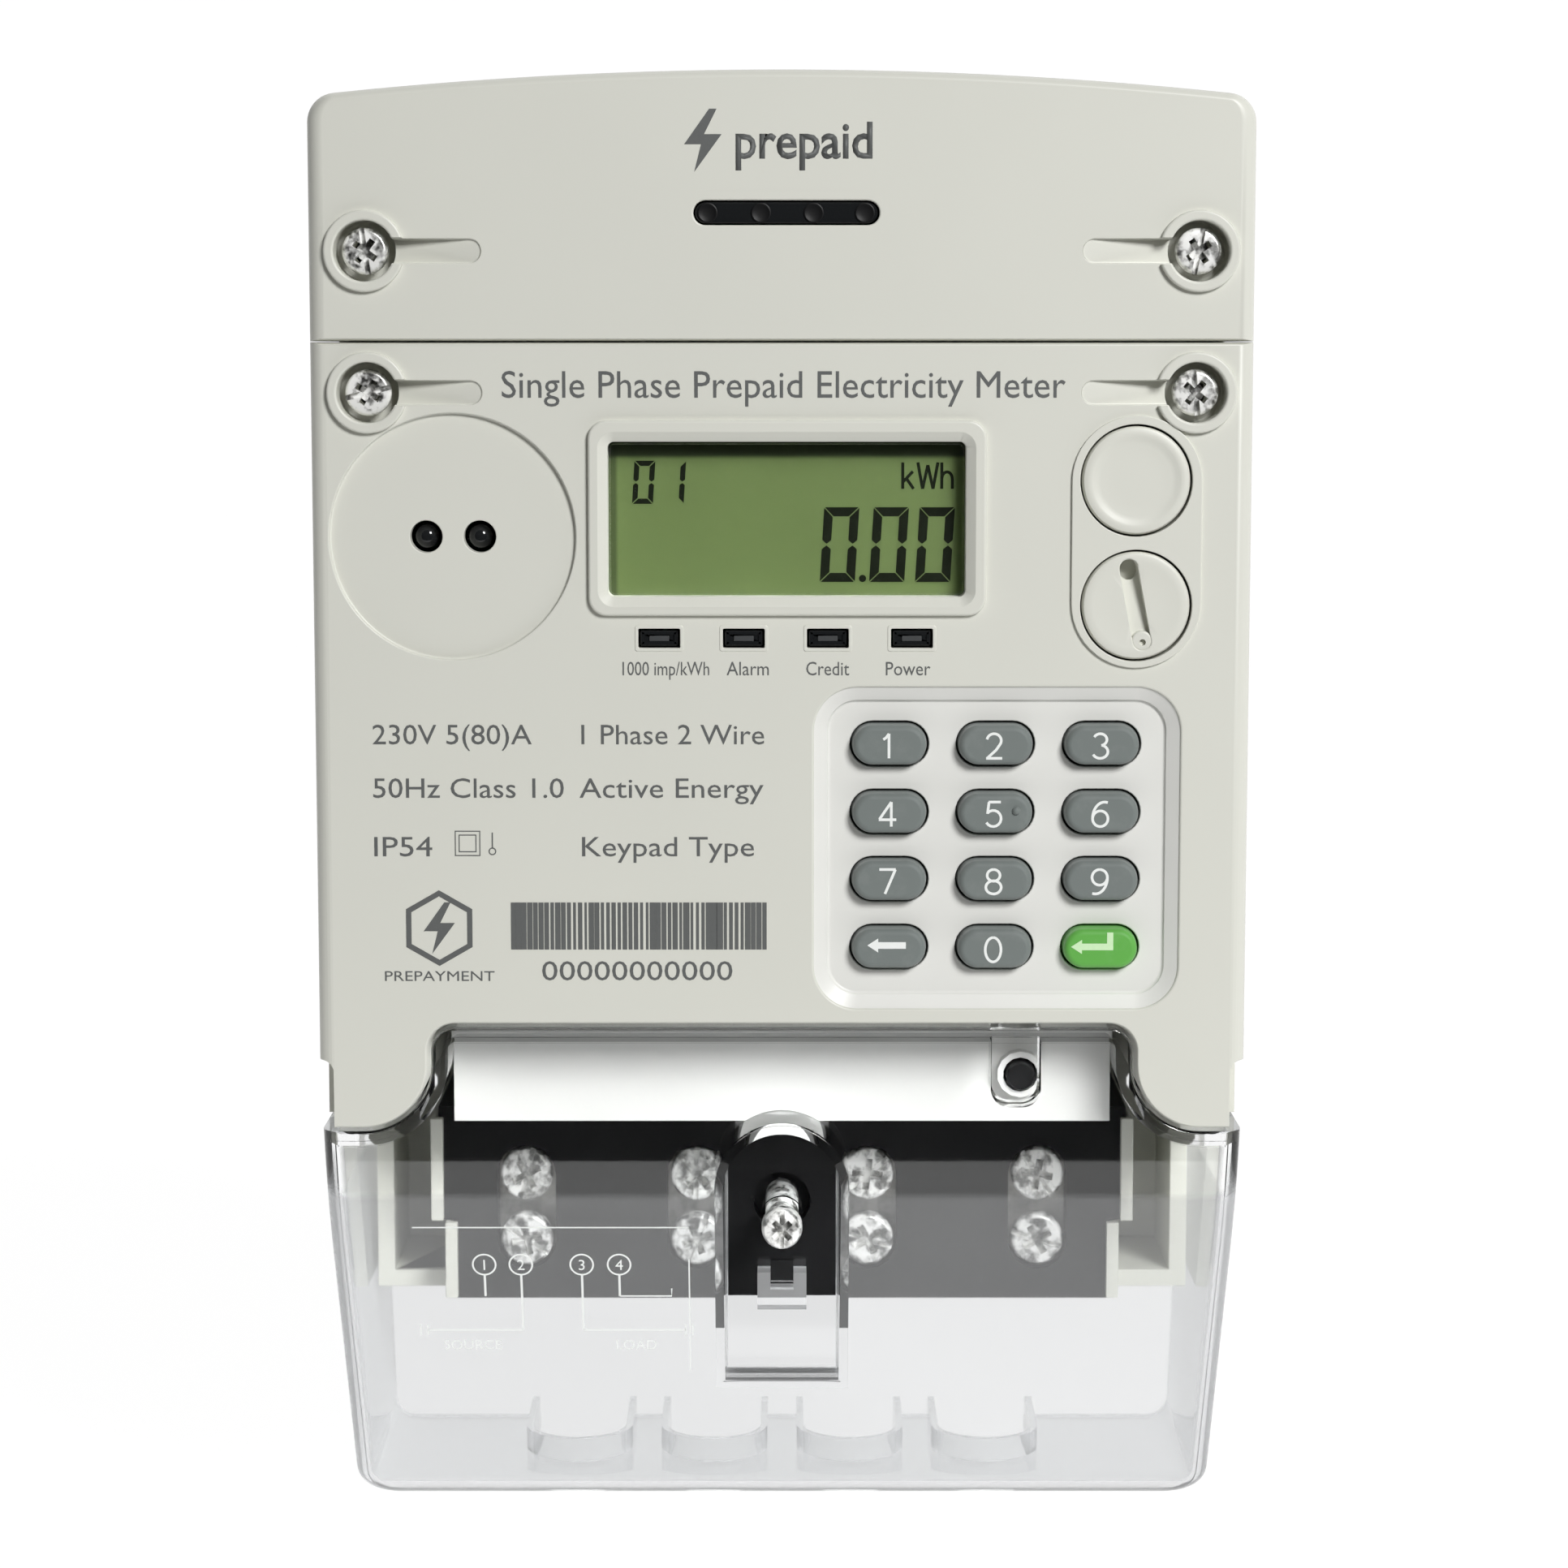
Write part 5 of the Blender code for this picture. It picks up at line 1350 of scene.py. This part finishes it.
def lampLenses():
    look = lensLook
    for name in lampNames:
        low, high = boxOf(name)
        outline = boxOutline(low.x, high.x, low.z, high.z, look["corner"], 3)
        front = low.y
        rim = look["rim"]
        layers = [(0, high.y), (0, front + 0.1), (0.1, front), (rim, front),
                  (rim + 0.12, front + look["dish"])]
        lens = layered(f"{name}_smoked", outline, layers, smokedPlastic)
        at = (low + high) / 2
        die = boxOutline(at.x - look["dieHalf"], at.x + look["dieHalf"], at.z + look["dieLow"],
                         at.z + look["dieHigh"], 0.12, 3)
        chip = layered("die", die, [(0, front + 0.4), (0, front + 0.08), (0.08, front + 0.02)], darkEnamel)
        mount(smooth(joined(f"{name}_smoked", [lens, chip]), 30), "case", "smoked_plastic", name)


def infraredPair():
    look = diodeLook
    dome = []
    for degrees in range(12, 91, 13):
        angle = math.radians(degrees)
        dome.append((look["dome"] * math.sin(angle), look["domeBase"] - look["domeRise"] * math.cos(angle)))
    for name in ("ir_emitter", "ir_receiver"):
        low, high = boxOf(name)
        at = (low + high) / 2
        profile = dome + [(look["body"], look["bodyFront"]), (look["body"], look["flangeFront"] - 0.2),
                          (look["flange"], look["flangeFront"]), (look["flange"], high.y)]
        diode = loft(f"{name}_diode", turnedRings(at.x, at.z, profile, 36), smokedPlastic)
        mount(smooth(diode, 40), "case", "black_plastic", name)


def moduleWindow():
    low, high = boxOf("module_led_window")
    x, z, length, height = moduleFace["window"]
    outline = pillOutline(x, z, length - moduleFace["windowGap"], height - moduleFace["windowGap"], 14)
    pane = layered("pane", outline, [(0, high.y), (0, low.y + 0.12), (0.12, low.y)], smokedPlastic)
    pieces = [pane]
    for lampX in moduleFace["lampX"]:
        ring = [(radius, low.y + deep) for radius, deep in moduleFace["lampRings"]]
        pieces.append(loft("lamp", turnedRings(lampX, z, ring, 28), blackPlastic))
    window = smooth(joined("module_led_window_smoked", pieces), 30)
    mount(window, "module_cover", "smoked_plastic", "module_led_window")


darkEnamel = enamel("darkEnamel", {"colour": (0.055, 0.058, 0.060), "roughness": 0.35, "coat": 0.2})
lampLenses()
infraredPair()
moduleWindow()
print("lamps made")


# ---- print on the face

titleLook = {"text": "Single Phase Prepaid Electricity Meter", "x": -37.9, "z": 57.92, "height": 3.82,
             "width": 76.3}
ratingRows = (
    ("230V 5(80)A", -55.95, 10.77, 21.75), ("1 Phase 2 Wire", -27.4, 10.77, 25.0),
    ("50Hz Class 1.0", -55.95, 3.40, 26.1), ("Active Energy", -27.7, 3.40, 25.2),
    ("IP54", -55.9, -4.68, 7.95), ("Keypad Type", -27.4, -4.68, 23.6),
)
ratingHeight = 2.85
lampLabels = (("1000 imp/kWh", -21.73, 11.83), ("Alarm", -7.52, 5.75), ("Credit", 3.34, 5.86),
              ("Power", 14.20, 6.08))
labelLook = {"z": 20.24, "height": 1.95}
symbolLook = {"squares": (1.68, 1.15), "x": -43.1, "z": -2.9, "line": 0.2, "bulb": (-39.7, -4.0, 0.45),
              "stemTop": -1.4}
markLook = {"x": -10.6, "z": 92.3, "height": 8.4, "word": "prepaid", "wordX": -6.2, "wordZ": 90.0,
            "wordHeight": 5.0, "wordWidth": 18.4, "weight": 0.016}
barcodeLook = {"lowX": -36.94, "highX": -2.38, "lowZ": -17.63, "highZ": -11.09, "bars": 46, "narrow": 0.30,
               "wide": 0.90, "deep": 0.036, "digits": "00000000000", "digitsX": -33.0, "digitsZ": -21.9,
               "digitsHeight": 2.8, "digitsWidth": 26.2}
emblemLook = {"x": -47.1, "z": -14.65, "radius": 5.3, "word": "PREPAYMENT", "wordZ": -22.0,
              "wordHeight": 1.45, "wordWidth": 15.1}


def boltOutline(x, z, height):           # a plain lightning bolt
    shape = [(0.10, 0.50), (-0.30, -0.06), (-0.03, -0.06), (-0.14, -0.50),
             (0.30, 0.10), (0.02, 0.10), (0.22, 0.50)]
    return [(x + a * height, z + b * height) for a, b in shape]


def barcodeTree():
    tree = Grower("barcodeTree", start=(0.0, 0.0, 0.0), pitch=(0.0, 0.0, 0.0), bars=46, narrow=0.0002,
                  wide=0.0006, tall=0.0065, deep=0.00006, finish=greyInk)
    start, pitch, bars, tall, deep = tree.read("start", "pitch", "bars", "tall", "deep")
    along = {"Count": bars, "Start Location": start, "Offset": pitch}
    line = tree.node("GeometryNodeMeshLine", {"mode": "OFFSET"}, along)
    bar = tree.node("GeometryNodeMeshCube", None, {"Size": tree.vector(1.0, deep, tall)})
    narrow, wide = tree.read("narrow", "wide")
    width = tree.node("FunctionNodeRandomValue", {"data_type": "FLOAT"}, None, 1)
    randomNode = width.socket.node
    tree.feed(randomNode.inputs[2], narrow)
    tree.feed(randomNode.inputs[3], wide)
    tree.feed(randomNode.inputs["Seed"], 5)
    placing = {"Points": line, "Instance": bar, "Scale": tree.vector(width, 1.0, 1.0)}
    row = tree.node("GeometryNodeInstanceOnPoints", None, placing)
    return tree.finish(tree.painted(row, tree.read("finish")))


def facePrint():
    face = meter["front"]
    drawn = [printed(titleLook["text"], titleLook["x"], titleLook["z"], titleLook["height"], face, greyInk,
                     width=titleLook["width"])]
    for text, x, z, width in ratingRows:
        drawn.append(printed(text, x, z, ratingHeight, face, greyInk, width=width))
    for text, x, width in lampLabels:
        drawn.append(printed(text, x, labelLook["z"], labelLook["height"], face, greyInk, width=width))
    x, z = symbolLook["x"], symbolLook["z"]
    for half in symbolLook["squares"]:   # the double square of a doubly insulated device
        square = boxOutline(x - half, x + half, z - half, z + half, 0)
        drawn.append(stroke("square", square, symbolLook["line"], face, greyInk, closed=True))
    x, z, radius = symbolLook["bulb"]
    drawn.append(stroke("bulb", circleOutline(x, z, radius, 20), 0.16, face, greyInk, closed=True))
    drawn.append(stroke("stem", [(x, z + 0.5), (x, symbolLook["stemTop"])], 0.18, face, greyInk))
    look = emblemLook
    turns = [math.radians(60 * i) for i in range(6)]
    radius = look["radius"]
    hexagon = [(look["x"] + radius * math.sin(a), look["z"] + radius * math.cos(a)) for a in turns]
    drawn.append(stroke("hexagon", insetOutline(hexagon, 0.4), 0.85, face, greyInk, closed=True))
    bolt = boltOutline(look["x"], look["z"], radius * 1.35)
    drawn.append(layered("bolt", bolt, [(0, face), (0, face - 0.03)], greyInk))
    drawn.append(printed(look["word"], look["x"], look["wordZ"], look["wordHeight"], face, greyInk,
                         width=look["wordWidth"], centred=True))
    look = barcodeLook
    drawn.append(printed(look["digits"], look["digitsX"], look["digitsZ"], look["digitsHeight"], face,
                         greyInk, width=look["digitsWidth"]))
    pitch = (look["highX"] - look["lowX"]) / (look["bars"] - 1)
    tree = barcodeTree()
    middle = (look["lowZ"] + look["highZ"]) / 2
    bars = tree.grow("bars", start=(look["lowX"] * mm, (face - 0.012) * mm, middle * mm),
                     pitch=(pitch * mm, 0.0, 0.0), bars=look["bars"], narrow=look["narrow"] * mm,
                     wide=look["wide"] * mm, tall=(look["highZ"] - look["lowZ"]) * mm, deep=look["deep"] * mm,
                     finish=greyInk)
    drawn.append(bars)
    mount(joined("front_print", drawn), "case", "black_plastic")


def modulePrint():
    face = meter["front"]
    look = markLook
    outline = boltOutline(look["x"], look["z"], look["height"])
    bolt = layered("bolt", outline, [(0, face), (0, face - 0.03)], greyInk)
    word = printed(look["word"], look["wordX"], look["wordZ"], look["wordHeight"], face, greyInk,
                   width=look["wordWidth"], weight=look["weight"])
    mount(joined("module_print", [bolt, word]), "module_cover", "black_plastic")


facePrint()
modulePrint()
print("print made")


# ---- print on the clear cover

diagramLook = {"numbers": (("1", -41.71), ("2", -36.58), ("3", -28.05), ("4", -22.81)), "z": -63.0,
               "radius": 1.6, "ring": 0.25, "line": 0.32, "fine": 0.2, "short": -68.0, "long": -73.46,
               "tick": 0.9, "words": (("SOURCE", -43.8), ("LOAD", -20.6)), "wordZ": -76.6, "wordHeight": 1.6,
               "link": (-22.81, -15.5, 1.2, 0.22), "edgeDrop": (-5.0, -80.0),
               "runs": ((-50.07, -36.58), (-28.05, -13.58)), "edgeZ": -57.19, "edgeX": (-51.55, -13.0)}


def diagram():
    look = diagramLook
    drawn = []
    for text, x in look["numbers"]:
        drawn.append(stroke("circle", circleOutline(x, look["z"], look["radius"], 32), look["ring"], 0,
                            whiteInk, closed=True))
        drawn.append(printed(text, x, look["z"] - 0.85, 1.7, 0, whiteInk, centred=True))
        foot = look["short"] if text in "14" else look["long"]
        drawn.append(stroke("drop", [(x, look["z"] - look["radius"]), (x, foot)], look["line"], 0, whiteInk))
    for low, high in look["runs"]:
        drawn.append(stroke("run", [(low, look["long"]), (high, look["long"])], look["line"], 0, whiteInk))
    outerLeft, outerRight = look["runs"][0][0], look["runs"][1][1]
    for x in (outerLeft, outerLeft - 1.0, outerRight, outerRight + 1.0):
        tick = [(x, look["long"] - look["tick"]), (x, look["long"] + look["tick"])]
        drawn.append(stroke("tick", tick, look["ring"], 0, whiteInk))
    start, end, rise, width = look["link"]
    link = [(start, look["short"]), (end, look["short"]), (end, look["short"] + rise)]
    drawn.append(stroke("link", link, width, 0, whiteInk))
    for text, x in look["words"]:
        drawn.append(printed(text, x, look["wordZ"], look["wordHeight"], 0, whiteInk, centred=True))
    left, right = look["edgeX"]
    drawn.append(stroke("edge", [(left, look["edgeZ"]), (right, look["edgeZ"])], look["fine"], 0, whiteInk))
    drop, foot = look["edgeDrop"]
    drawn.append(stroke("edge", [(right, look["edgeZ"] + drop), (right, foot)], look["fine"], 0, whiteInk))
    piece = joined("terminal_diagram", drawn)
    mount(laidOnFront(piece), "terminal_cover", "white_plastic")


diagram()
print("diagram made")


# ---- parts on the module's board

boardLook = {"columns": 12, "rows": 4, "margin": 5.0, "keep": 0.6, "seed": 8, "smallest": (1.4, 0.7, 0.9),
             "largest": (5.2, 1.9, 3.4), "corner": 0.12}


def boardTree():                         # low bevelled housings set out on a grid, some places left empty
    tree = Grower("boardTree", wide=0.09, tall=0.02, columns=12, rows=4, centre=(0.0, 0.0, 0.0), keep=0.6,
                  seed=8, smallest=(0.001, 0.001, 0.001), largest=(0.005, 0.002, 0.003), corner=0.12,
                  finish=darkEnamel)
    wide, tall, columns, rows, keep, seed = tree.read("wide", "tall", "columns", "rows", "keep", "seed")
    places = {"Size X": wide, "Size Y": tall, "Vertices X": columns, "Vertices Y": rows}
    grid = tree.node("GeometryNodeMeshGrid", None, places)
    upright = tree.node("GeometryNodeTransform", None, {"Geometry": grid, "Rotation": (math.pi / 2, 0.0, 0.0),
                                                        "Translation": tree.read("centre")})
    half = 0.5 ** 0.5
    corner = tree.read("corner")
    housing, _ = tree.tower([(half, 0.0), (half, corner - 1.0), (half - corner * 0.5, -1.0)], 4)
    chosen = tree.node("FunctionNodeRandomValue", {"data_type": "BOOLEAN"}, None, 3)
    tree.feed(chosen.socket.node.inputs["Probability"], keep)
    tree.feed(chosen.socket.node.inputs["Seed"], seed)
    size = tree.node("FunctionNodeRandomValue", {"data_type": "FLOAT_VECTOR"}, None, 0)
    tree.feed(size.socket.node.inputs[0], tree.read("smallest"))
    tree.feed(size.socket.node.inputs[1], tree.read("largest"))
    tree.feed(size.socket.node.inputs["Seed"], seed)
    placing = {"Points": upright, "Selection": chosen, "Instance": housing, "Scale": size}
    placed = tree.node("GeometryNodeInstanceOnPoints", None, placing)
    return tree.finish(tree.painted(placed, tree.read("finish")))


def boardParts():
    low, high = boxOf("module_board")
    look = boardLook
    margin = look["margin"]
    centre = ((low.x + high.x) / 2 * mm, (low.y + 0.05) * mm, (low.z + high.z) / 2 * mm)
    made = boardTree().grow("module_board_parts", centre=centre, wide=(high.x - low.x - 2 * margin) * mm,
                            tall=(high.z - low.z - margin) * mm, columns=look["columns"], rows=look["rows"],
                            keep=look["keep"], seed=look["seed"], corner=look["corner"], finish=darkEnamel,
                            smallest=tuple(v * mm for v in look["smallest"]),
                            largest=tuple(v * mm for v in look["largest"]))
    mount(smooth(made, 30), "case", "black_plastic")


boardParts()
print("board parts made")


# ---- carried-over nodes

polish("base_case", casePlastic, 0.5, 3)
polish("hanging_hook", casePlastic, 0.3)
polish("terminal_shroud", whitePlastic, 0.3, 3)
polish("terminal_block", blackPlastic, 0.3)
polish("cover_switch_button", blackPlastic, 0.2, 3)
polish("service_stem", casePlastic, 0.2)
polish("keypad_mat", greyRubber, 0.1)
for i in range(1, 5):
    polish(f"terminal_{i}", tinPlate, 0.25)
for name in ("display_switch", "service_switch", "latching_relay"):
    polish(name, blackPlastic, 0.3)
for name in ("main_board", "module_board"):
    polish(name, boardGreen, 0.1)
polish("current_shunt", copperBar, 0.2)
polish("power_transformer", enamel("windingTape", {"colour": (0.62, 0.45, 0.06), "roughness": 0.4,
                                                   "coat": 0.3}), 0.4)
polish("backup_battery", enamel("batteryWrap", {"colour": (0.05, 0.22, 0.10), "roughness": 0.35,
                                                "coat": 0.4}), 0.4)
print("carried-over nodes finished")


# ---- stage

def area(name, place, target, size, power, colour=(1, 1, 1)):
    lamp = bpy.data.lights.new(name, "AREA")
    lamp.shape = "RECTANGLE"
    lamp.size, lamp.size_y = size
    lamp.energy = power
    lamp.color = colour
    made = bpy.data.objects.new(name, lamp)
    made.location = place
    made.rotation_euler = (Vector(target) - Vector(place)).to_track_quat("-Z", "Y").to_euler()
    bpy.context.scene.collection.objects.link(made)


studio = {"floor": -0.130, "wall": 1.20, "reach": 3.0, "near": -0.25, "bend": 0.30, "front": 0.07,
          "above": 0.45, "behind": 0.45, "glow": 0.93}


def makeStage():
    white = Shader("studioWhite", roughness=0.9, specular=0.1, glow=(1, 1, 1, 1), glowStrength=studio["glow"])
    grain = white.noise(6, 2.0)
    white.set(colour=white.blend(grain, (0.14, 0.14, 0.14, 1), (0.16, 0.16, 0.16, 1)))
    floor, wall, reach, bend = (studio[key] for key in ("floor", "wall", "reach", "bend"))
    turn = [math.radians(9 * i) for i in range(11)]
    curve = [(wall - bend + bend * math.sin(a), floor + bend - bend * math.cos(a)) for a in turn]
    profile = [(studio["near"], floor)] + curve + [(wall, reach)]
    work = bmesh.new()
    rows = [[work.verts.new((x, y, z)) for x in (-reach, reach)] for y, z in profile]
    for one, two in zip(rows, rows[1:]):
        work.faces.new((one[0], one[1], two[1], two[0]))
    mesh = bpy.data.meshes.new("backdrop")
    work.to_mesh(mesh)
    work.free()
    backdrop = newObject("backdrop", mesh, white.material)
    mesh.shade_smooth()
    world = bpy.data.worlds.new("room")
    world.use_nodes = True
    room = Tree(world.node_tree)         # dim in front of the meter, bright above and behind it
    around = room.node("ShaderNodeTexCoord").out("Generated")
    direction = room.node("ShaderNodeSeparateXYZ", None, {0: around})
    above = room.math("MAXIMUM", direction.out("Z"), 0.0)
    behind = room.math("MAXIMUM", direction.out("Y"), 0.0)
    background = world.node_tree.nodes["Background"]
    strength = studio["front"] + above * studio["above"] + behind * studio["behind"]
    room.feed(background.inputs["Strength"], strength)
    bpy.context.scene.world = world
    area("keyLight", (0.50, -0.95, 0.60), (0, -0.05, 0.0), (0.35, 0.35), 13.8)
    bpy.context.scene.view_settings.view_transform = "Standard"


camera = {"place": (0.0003, -0.5766, 0.0648), "target": (0.0003, -0.0600, 0.0053), "lens": 87.2}


def makeCamera():
    data = bpy.data.cameras.new("camera")
    data.lens = camera["lens"]
    data.sensor_width = 36
    data.clip_start = 0.01
    made = bpy.data.objects.new("camera", data)
    made.location = camera["place"]
    ahead = Vector(camera["target"]) - Vector(camera["place"])
    made.rotation_euler = ahead.to_track_quat("-Z", "Y").to_euler()
    bpy.context.scene.collection.objects.link(made)
    bpy.context.scene.camera = made


makeStage()
makeCamera()
